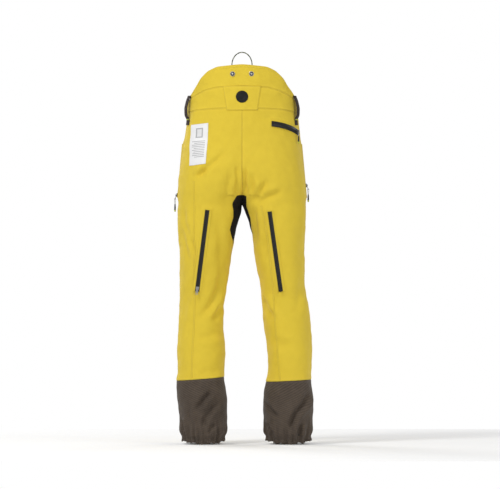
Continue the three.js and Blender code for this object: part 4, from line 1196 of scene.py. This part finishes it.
# ---- Press studs --------------------------------------------------------------------------
# Nickel-plated press studs: a rolled flange, a dished face and a waisted post.
# Two take the braces on the high back, and one closes the waist tab.
STUD_RADIUS, POST_RADIUS, STUD_RIM = 0.0082, 0.0028, 0.0019
UP = np.array([0, 0, 1.0])


def metal_finish(name, tone, roughness):
    """Plated metal with fine brushing and rubbed, slightly duller patches."""
    material, shader, wire = new_finish(name, Metallic=1.0)
    streak = wire.make("ShaderNodeMapping", {"Vector": wire.place(), "Scale": (1, 1, 9)})
    brushed = wire.cloud(0.0008, 3.0, at=streak)
    patchy = wire.cloud(0.006, 2.0)
    feed(
        shader,
        Base_Color=patchy.colour(tuple(c * 0.82 for c in tone), tone),
        Roughness=brushed * 0.18 + patchy * 0.14 + roughness,
        Normal=wire.bump(brushed, 0.00006, 0.4),
    )
    return material


nickel = metal_finish("plated_nickel", (0.70, 0.70, 0.71), 0.2)
# the dark nickel of each stud's dished face is painted shade
nickel_painted_dish_shade = metal_finish("nickel_painted_shade", (0.07, 0.07, 0.07), 0.35)


def rounded_off(piece, width, segments=2, angle=30):
    pick(piece)
    bevel = piece.modifiers.new("bevel", "BEVEL")
    bevel.width = width
    bevel.segments = segments
    bevel.limit_method = "ANGLE"
    bevel.angle_limit = math.radians(angle)
    bpy.ops.object.modifier_apply(modifier="bevel")
    bpy.ops.object.shade_smooth_by_angle(angle=math.radians(35))


def extrude(height, share):
    """What is selected is extruded upwards and then drawn in or out."""
    bpy.ops.mesh.extrude_region_move(TRANSFORM_OT_translate={"value": (0, 0, height)})
    bpy.ops.transform.resize(value=(share, share, 1))


bpy.ops.object.select_all(action="DESELECT")
bpy.ops.mesh.primitive_cylinder_add(vertices=48, radius=STUD_RADIUS, depth=0.0012, location=(0, 0, 0.0006))
stud = bpy.context.object
with Shaping(stud, lambda normal: normal.z > 0.9):
    dish = STUD_RADIUS - 0.0029 - POST_RADIUS
    for inset, rise in [(0.0006, STUD_RIM - 0.0012), (0.0011, 0.0), (0.0012, -0.0009), (dish, 0.0)]:
        bpy.ops.mesh.inset(thickness=inset, depth=rise)
    extrude(0.0013, 0.8)
    extrude(0.0010, 1.25)
    bpy.ops.mesh.inset(thickness=0.0009, depth=0.0002)
    bpy.ops.mesh.inset(thickness=0.0006, depth=-0.0008)
rounded_off(stud, 0.0002, segments=2, angle=25)
for polygon in stud.data.polygons:  # the dished face is duller, with a dark nickel as painted shade, and the rim and the post are bright
    polygon.material_index = int(POST_RADIUS * 1.1 < polygon.center.xy.length < STUD_RADIUS - 0.0014)


def seat_copy(source, name, origin, across, ahead, up):
    """A copy of a finished shape with its own mesh, set down in a frame."""
    piece = bpy.data.objects.new(name, source.data.copy())
    scene.collection.objects.link(piece)
    turn = Matrix([[*row] for row in np.stack([across, ahead, up]).T.tolist()]).to_4x4()
    piece.data.transform(Matrix.Translation(Vector(origin)) @ turn)
    return piece


STUDS = {  # where it is across and up, how far it stands off the form, and if it is behind or in front
    "brace_stud_left": (0.031, 0.101, 0.0006, 1),
    "brace_stud_right": (-0.031, 0.101, 0.0006, 1),
    "waist_stud": (-0.016, -0.008, 0.0172, -1),
}
for name, (x, z, lift, face) in STUDS.items():
    own, u = u_behind(x, np.array(z))
    own, u = int(own), float(u) * face
    out = outwards(own, u, z)
    base = form(own, u, z) + out * lift
    across = unit(np.cross(UP, out))
    piece = seat_copy(stud, f"{name}_metal", base, across, np.cross(out, across), out)
    piece.data.materials.append(nickel)
    piece.data.materials.append(nickel_painted_dish_shade)
    fasten(piece, "metal", "hips", name)
bpy.data.objects.remove(stud)


# ---- Belt loops ---------------------------------------------------------------------------
# Dark brown webbing, sewn down at the top and bar-tacked near the bottom, that bulges off the cloth between.
WEBBING_BROWN = (0.030, 0.020, 0.018)
webbing = twill_finish(
    "loop_webbing",
    tuple(c * 1.5 for c in WEBBING_BROWN),
    WEBBING_BROWN,
    0.0016,
    0.86,
    rib=0.0032,
    depth=0.0006,
    fuzz=0.0,
)
tack_thread = thread_finish("tack_thread", (0.46, 0.52, 0.05))
LOOPS = {
    "belt_loop": dict(u=0.2, width=21, thick=2.4, top=30, tack=-47, end=-66, bulge=12),
    "belt_loop_front": dict(u=-0.78, width=19, thick=2.0, top=9, tack=-50, end=-56, bulge=12),
}


def loop_line(side, size):
    """The loop seen from its side: how far off the cloth it is, down its length."""
    top, tack, bulge = size["top"], size["tack"], size["bulge"]
    crown = top + (tack - top) * 0.52
    middle = (top + tack) / 2 * MM
    base = form(side, size["u"], middle)
    out = unit(outwards(side, size["u"], middle) * np.array([1, 1, 0]))

    def away(z):
        return float((form(side, size["u"], z * MM) - base) @ out) / MM + 0.6

    line = np.array([
        (away(top) - 0.2, top + 1),
        (away(top), top - 1),
        (away(top + (crown - top) * 0.35) + bulge * 0.55, top + (crown - top) * 0.4),
        (away(crown) + bulge, crown),
        (away(tack) + bulge * 0.62, crown + (tack - crown) * 0.7),
        (away(tack) + 0.4, tack + 3),
        (away(tack), tack),
        (away(tack - 3), tack - 3),
        (away(size["end"]), size["end"]),
    ])
    reach = lengthwise(line)
    at = np.linspace(0, reach[-1], 70)
    fine = np.stack([np.interp(at, reach, c) for c in line.T], -1)
    for _ in range(4):
        fine[2:-2] = sum(fine[2 + k : len(fine) - 2 + k] for k in (-2, -1, 0, 1, 2)) / 5
    return fine, base, out


for label, size in LOOPS.items():
    for side, name in SIDES:
        line, base, out = loop_line(side, size)
        points = base * np.array([1, 1, 0]) + line[:, :1] * MM * out + line[:, 1:] * MM * UP
        level = unit(np.cross(UP, out))
        across = np.repeat(level[None], len(points), 0)
        normal = unit(np.cross(across, unit(np.gradient(points, axis=0)))) * np.sign(np.cross(level, -UP) @ out)
        half, thick = size["width"] / 2, size["thick"]
        profile = [(-half, 0.25), (-half + 0.5, 0.0), (-half + 1.2, 0.35), (-half * 0.5, 0.1), (0, 0.15)]
        profile += [(-x, y) for x, y in profile[-2::-1]]
        profile = [(x, y + thick * 0.75) for x, y in profile]
        wall = thick * 0.72 * MM
        piece = ribbon(f"{label}_webbing_{name}", points, across, normal, profile, webbing, wall=wall)
        fasten(piece, "webbing", "hips", f"{label}_{name}")
        tacks = []
        for shift in (-1.1, 0, 1.1):
            near = np.abs(line[:, 1] - size["tack"] - shift).argmin()
            spot = points[near] + normal[near] * (thick * 0.75 + 0.35) * MM
            sweep = np.linspace(-half * 0.86, half * 0.86, 9)[:, None] * MM
            tacks.append((spot + sweep * level, np.repeat(normal[near][None], 9, 0)))
        size_of_tack = dict(pitch=0.0009, length=0.0026, radius=0.0004, skew=1.2)
        stitch_rows(f"{label}_tack_{name}", tacks, tack_thread, "webbing", "hips", **size_of_tack)


# ---- Zips ---------------------------------------------------------------------------------
# Reversed coil zips with a coated, nearly black tape whose two lips meet over the teeth.
# Thigh vents and hand pockets have them down the cloth, the rear pocket round the hip, and the fly in front.
TAPES = {  # the tape's width, and how far its face is raised
    "vent": (15.0, 0.0),
    "hand": (12.0, 0.0),
    "rear": (19.0, 1.2),
    "fly": (13.0, 2.2),
}
coated, shader, wire = new_finish("coated_tape", Specular_IOR_Level=0.26, Coat_Weight=0.03, Coat_Roughness=0.3)
across, along = wire.cloth()
weave = (across + along * 0.5).wave(0.0009) * 0.5 + along.wave(0.0012) * 0.5
film = wire.cloud(0.012, 3.0)
lips = 1 - (wire.maths("ABSOLUTE", across) / 0.0022).clear()
feed(
    shader,
    Base_Color=(film * 0.7 + lips * 0.3).clear().colour((0.010, 0.010, 0.010), (0.022, 0.022, 0.022)),
    Roughness=film * 0.16 + 0.34 - lips * 0.1,
    Normal=wire.bump(weave + film * 0.6, 0.00012, 0.5),
)


def tape_profile(width, raised):
    """Across the tape: turned-down selvedges, flat coated tape, and two raised lips with a slit between."""
    half = width / 2
    side = [(half, 0.5), (half - 0.3, 1.9), (half - 0.9, 2.35), (2.1, 2.5), (1.6, 2.95), (0.5, 3.0), (0.16, 2.3)]
    side = [(x, y + (raised if y > 1 else 0)) for x, y in side]
    return [(-x, y) for x, y in side] + side[::-1]


def lip_profile(edge, raised, way):
    """The turned edge of the shell beside the tape, which runs down to the cloth."""
    lip = [(edge - 0.4, 2.3 + raised), (edge - 0.1, 2.9 + raised), (edge + 0.6, 3.0 + raised)]
    lip += [(edge + 2.6, 2.2 + raised * 0.7), (edge + 5.2, 1.1 + raised * 0.3), (edge + 7.5, 0.0)]
    return lip if way > 0 else [(-x, y) for x, y in lip][::-1]


for key, run in ZIPS.items():
    kind, _, name = key.partition("_")
    width, raised = TAPES[kind]
    side = 1 if name == "left" else -1
    profile = tape_profile(width, raised)
    tape = ribbon(f"{key}_tape", run.points, run.across, run.out, profile, coated, wall=0.0009)
    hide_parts(f"{kind}_zip_tape_{name}" if name else f"{kind}_zip_tape")
    made = [tape]
    if kind in ("vent", "hand"):
        rows = []
        for way, edge in ((-1, "lower"), (1, "upper")):
            profile = lip_profile(width / 2, raised, way)
            lip = ribbon(f"{key}_welt_{edge}", run.points, run.across, run.out, profile, shell, wall=0.0007)
            made.append(lip)
            away = way * (width / 2 + 1.6) * MM
            rows.append((run.points + run.across * away + run.out * (2.62 + raised * 0.8) * MM, run.out))
        for end in (0, -1):
            sweep = np.linspace(-width / 2 - 1, width / 2 + 1, 7)[:, None] * MM
            level = run.points[end] + run.out[end] * (3.2 + raised) * MM
            rows.append((level + sweep * run.across[end], np.repeat(run.out[end][None], 7, 0)))
        made.append(stitch_rows(f"{key}_stitching", rows, shell_thread))
    for piece in made:
        if kind == "vent":
            hip_bend(piece, side, name)
        else:
            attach(piece, "hips")

# Sliders and pulls are cast and plated, bright or blackened.
slider_black = metal_finish("slider_black", (0.05, 0.05, 0.05), 0.32)
slider_metal = metal_finish("slider_metal", (0.46, 0.46, 0.47), 0.22)


def cast(node, name, finish, body, slot="metal"):
    """The node's own shape, joined up and with its edges rounded as a casting's are."""
    piece = bpy.data.objects.new(name, frame["nodes"][node].data.copy())
    scene.collection.objects.link(piece)
    piece.data.materials.clear()
    with Shaping(piece):
        bpy.ops.mesh.remove_doubles(threshold=2e-6)
        bpy.ops.mesh.dissolve_limited(angle_limit=math.radians(2))
    rounded_off(piece, 0.00028, segments=3)
    piece.data.materials.append(finish)
    fasten(piece, slot, body, node)


for name in ("left", "right"):
    vent_metal = slider_metal if name == "left" else slider_black
    cast(f"vent_{name}_slider", f"vent_{name}_slider_cast", vent_metal, f"vent_{name}_slider")
    cast(f"vent_{name}_pull", f"vent_{name}_pull_tab", vent_metal, f"vent_{name}_pull")
    cast(f"hand_{name}_slider", f"hand_{name}_slider_cast", slider_black, f"hand_{name}_slider")
    cast(f"hand_{name}_pull", f"hand_{name}_pull_tab", slider_metal, f"hand_{name}_pull", "pull_plastic")
cast("rear_slider", "rear_slider_cast", slider_black, "rear_slider")
cast("fly_slider", "fly_slider_cast", slider_metal, "fly_slider")
cast("fly_pull", "fly_pull_tab", slider_metal, "fly_slider")

# Toggles are moulded in black with a coloured tip, on a doubled thin cord.
TOGGLE_DROP, TOGGLE_LENGTH, TOGGLE_BEND = 17 * MM, 25 * MM, 2.25 * MM
TURNED = [  # radius and distance below the eye, down the toggle
    (1.4, 17.0), (2.0, 17.5), (2.3, 18.6), (2.35, 20.6), (2.0, 21.0), (2.0, 21.7), (2.5, 22.1), (2.6, 24.6),
    (2.15, 25.0), (2.15, 25.7), (2.7, 26.1), (2.8, 29.4), (2.3, 29.8), (2.3, 30.5), (2.8, 30.9), (2.75, 35.4),
    (2.6, 35.8), (2.6, 38.8), (2.3, 40.6), (1.5, 41.7), (0.6, 42.0),
]
TIP_DROP = 35.6 * MM  # where the coloured tip starts, below the eye


def moulding(name, dark, light, gloss, roughness):
    """Moulded plastic with a fine eggshell grain."""
    material, shader, wire = new_finish(name, Specular_IOR_Level=gloss)
    grain = wire.cloud(0.0016, 3.0)
    feed(
        shader,
        Base_Color=grain.colour(dark, light),
        Roughness=grain * 0.2 + roughness,
        Normal=wire.bump(grain, 0.0001, 0.4),
    )
    return material


toggle_black = moulding("toggle_moulding", (0.012, 0.012, 0.012), (0.028, 0.028, 0.027), 0.45, 0.4)
toggle_tip = moulding("toggle_tip", (0.40, 0.44, 0.03), (0.50, 0.54, 0.05), 0.4, 0.42)
# the last colour is the cord's painted highlight
toggle_cord = braid("toggle_cord", (0.30, 0.30, 0.29), (0.05, 0.05, 0.05), (0.60, 0.60, 0.58))

bpy.ops.object.select_all(action="DESELECT")
first_radius, first_level = (size * MM for size in TURNED[0])
first_place = dict(location=(0, 0, -first_level), rotation=(math.pi, 0, 0))
bpy.ops.mesh.primitive_circle_add(vertices=28, radius=first_radius, fill_type="NGON", **first_place)
bob = bpy.context.object
bpy.ops.object.transform_apply(location=True, rotation=True, scale=True)
with Shaping(bob):
    for (r0, z0), (r1, z1) in zip(TURNED[:-1], TURNED[1:]):
        extrude((z0 - z1) * MM, r1 / r0)
    bpy.ops.mesh.select_all(action="SELECT")
    bpy.ops.mesh.normals_make_consistent(inside=False)
rounded_off(bob, 0.00012, segments=2, angle=28)
JOINTS = {joint["name"]: joint for joint in frame["joints"]}


def smooth_line(points, count):
    """A smooth curve through the points."""
    points = np.array(points, float)
    padded = np.vstack([2 * points[0] - points[1], points, 2 * points[-1] - points[-2]])
    found = []
    for at in np.linspace(0, len(points) - 1 - 1e-9, count):
        i, t = int(at), at - int(at)
        p = padded[i : i + 4]
        found.append(
            0.5 * (2 * p[1] + (p[2] - p[0]) * t + (2 * p[0] - 5 * p[1] + 4 * p[2] - p[3]) * t**2
                   + (3 * p[1] - p[0] - 3 * p[2] + p[3]) * t**3)
        )
    return np.array(found)


for key in ("hand_left", "hand_right", "rear"):
    joint = JOINTS[f"{key}_toggle_swing"]
    eye, bar = np.array(joint["pos_m"]), unit(np.array(joint["axis"], float))
    corners = np.array([v.co for v in frame["nodes"][f"{key}_toggle"].data.vertices], float)
    low = np.linalg.norm(corners - eye, axis=1) > TOGGLE_DROP + TOGGLE_LENGTH * 0.3
    rise = unit(eye - corners[low].mean(0))
    bar = unit(bar - rise * (bar @ rise))
    across = np.cross(bar, rise)
    body = seat_copy(bob, f"{key}_toggle_bob", eye, across, bar, rise)
    body.data.materials.append(toggle_black)
    body.data.materials.append(toggle_tip)
    for polygon in body.data.polygons:
        polygon.material_index = int((eye - np.array(polygon.center)) @ rise > TIP_DROP)
    bend = [(TOGGLE_BEND * math.cos(t), TOGGLE_BEND * math.sin(t)) for t in np.linspace(0, math.pi, 7)]
    run_down = [(1.6 * MM, -TOGGLE_DROP * 0.5), (0.9 * MM, -TOGGLE_DROP - 1.5 * MM)]
    flat = smooth_line([*run_down[::-1], *bend, *((-x, y) for x, y in run_down)], 60)
    line = eye + flat[:, :1] * across + flat[:, 1:] * rise
    strand = cord_tube(f"{key}_toggle_cord", line, 0.00075, bar, 10)
    strand.data.materials.append(toggle_cord)
    fasten(body, "pull_plastic", f"{key}_toggle", f"{key}_toggle")
    fasten(strand, "cord", f"{key}_toggle")
bpy.data.objects.remove(bob)


# ---- Fly and waist tab --------------------------------------------------------------------
# The fly zip lies under a flap of shell cloth, sewn down its left edge, and a tab with a stud closes the band.
FLAP_ACROSS = [(-17, 3.0), (-14, 9.5), (-9, 15.4), (0, 16.6), (12, 15.8), (19, 9.5), (26, 2.2), (31, 0.4)]
TAB_ACROSS = [(-35, 3.5), (-31, 10.0), (-24, 14.6), (-16, 15.4), (0, 15.6), (12, 15.2), (21, 9.0), (29, 1.0)]
FLAP_LEFT, FLAP_WIDTH, FLAP_TOP, FLAP_DROP = -17, 48, -29, 157
TAB_LEFT, TAB_WIDTH, TAB_TOP, TAB_DROP = -35, 64, 11, 38
FRONT_WALL, TAB_ROW = 0.0018, 0.0026


def over_front(x, z, profile, sewn):
    side, u = u_behind(x, z)
    xs, heights = np.array(profile, float).T
    fine = np.linspace(xs[0], xs[-1], 60)
    level = np.interp(fine, xs, heights)
    for _ in range(3):
        level[2:-2] = sum(level[2 + k : len(level) - 2 + k] for k in (-2, -1, 0, 1, 2)) / 5
    flat = Cut(side, -u, z, sewn=sewn, lift=0.0, draped=False, dip=0.0008)
    ahead = unit(flat.out * np.array([0, 1, 1]))
    flat.points = flat.points + ahead * (np.interp(x / MM, fine, level) * MM)[..., None]
    return flat


a, b = np.meshgrid(spread(0.05, 0.0025), spread(0.158, 0.004))
x = (FLAP_LEFT + FLAP_WIDTH * a + 0.6 * np.cos(14 * b)) * MM
z = (FLAP_TOP - FLAP_DROP * b - 6 * b * a) * MM
flap = over_front(x, z, FLAP_ACROSS, "abd")
flap.points[..., 1] -= 0.0007 * uneven(flap.points, 9, 0.05)
hip_cloth("fly_flap_cloth", flap, "fly_flap", wall=FRONT_WALL)
rows = [flap.beside(*row) for row in (("a", 0.0025), ("b", 0.0025), ("b", 0.0085), ("d", 0.0025))]
stitch_rows("fly_stitching", rows, shell_thread, body="hips")

a, b = np.meshgrid(spread(0.066, 0.0025), spread(0.038, 0.0025))
snip = 0.004 * np.maximum(0, 1 - a / 0.12) * (2 * b - 1)
tab = over_front((TAB_LEFT + TAB_WIDTH * a) * MM, (TAB_TOP - TAB_DROP * b) * MM + snip, TAB_ACROSS, "abtd")
hip_cloth("waist_tab_cloth", tab, "waist_tab", wall=FRONT_WALL)
stitch_rows("waist_tab_stitching", tab.all_round(TAB_ROW), shell_thread, body="hips")


# ---- Care label ---------------------------------------------------------------------------
# A smooth white woven label sewn flat to the left seat, printed with plain grey bars and a block.
LABEL_LEFT, LABEL_RIGHT, LABEL_TOP, LABEL_BOTTOM = 167, 112, -66, -200
LABEL_SHIFT, LABEL_LEAN, LABEL_TILT = -2, 8, 6
LABEL_ROW = 0.0014
LABEL_LINE = 0.042  # from one printed bar to the next, as a share of the label
label_weave, shader, wire = new_finish("label_satin", Roughness=0.5, Sheen_Weight=0.15, Specular_IOR_Level=0.4)
across, along = wire.cloth()
fibre = across.wave(0.0005) * along.wave(0.0005)
bars_left, bars_right = wire.mark("label_across"), 1 - wire.mark("label_across")
down = wire.mark("label_down")
inside = (bars_left > 0.14) * (bars_right > 0.14)
lines = (down.part(LABEL_LINE) < 0.4) * (down > 0.42) * (down < 0.84)
ragged = wire.maths("SINE", wire.maths("FLOOR", down / LABEL_LINE) * 2.4) * 0.11
block = (down > 0.10) * (down < 0.34) * (bars_left > 0.30) * (bars_right > 0.30)
hollow = (down > 0.13) * (down < 0.31) * (bars_left > 0.37) * (bars_right > 0.37)
printed = (inside * lines * (bars_left > (0.16 + ragged)) + block - hollow * block * 0.75).clear()
base = wire.cloud(0.02).colour((0.77, 0.77, 0.77), (0.84, 0.84, 0.84))
feed(
    shader,
    Base_Color=(printed * 0.62).colour(base, (0.16, 0.16, 0.17)),
    Normal=wire.bump(fibre + printed * 0.4, 0.00010, 0.5),
)
a, b = np.meshgrid(np.linspace(0, 1, 31), np.linspace(0, 1, 61))
x = (LABEL_RIGHT + (LABEL_LEFT - LABEL_RIGHT) * a + LABEL_SHIFT + LABEL_LEAN * b) * MM
z = (LABEL_TOP + (LABEL_BOTTOM - LABEL_TOP) * b + LABEL_TILT * (1 - a)) * MM
curl = 0.0009 * ease((b - 0.9) / 0.1) * ease((a - 0.7) / 0.3) + 0.0005 * np.cos(7 * b + 3 * a)
label = over_back(x, z, 0.0012 + curl)
piece = make_cloth("care_label_satin", label, label_weave, wall=0.0005)
for mark, values in (("label_across", 1 - a), ("label_down", b)):
    both = np.concatenate([values.ravel(), values.ravel()]).astype(np.float32)
    piece.data.attributes.new(mark, "FLOAT", "POINT").data.foreach_set("value", both)
fasten(piece, "label", "hips", "care_label")
label_thread = thread_finish("label_thread", (0.72, 0.72, 0.72))
stitch_rows("label_stitching", label.all_round(LABEL_ROW), label_thread, "label", "hips")
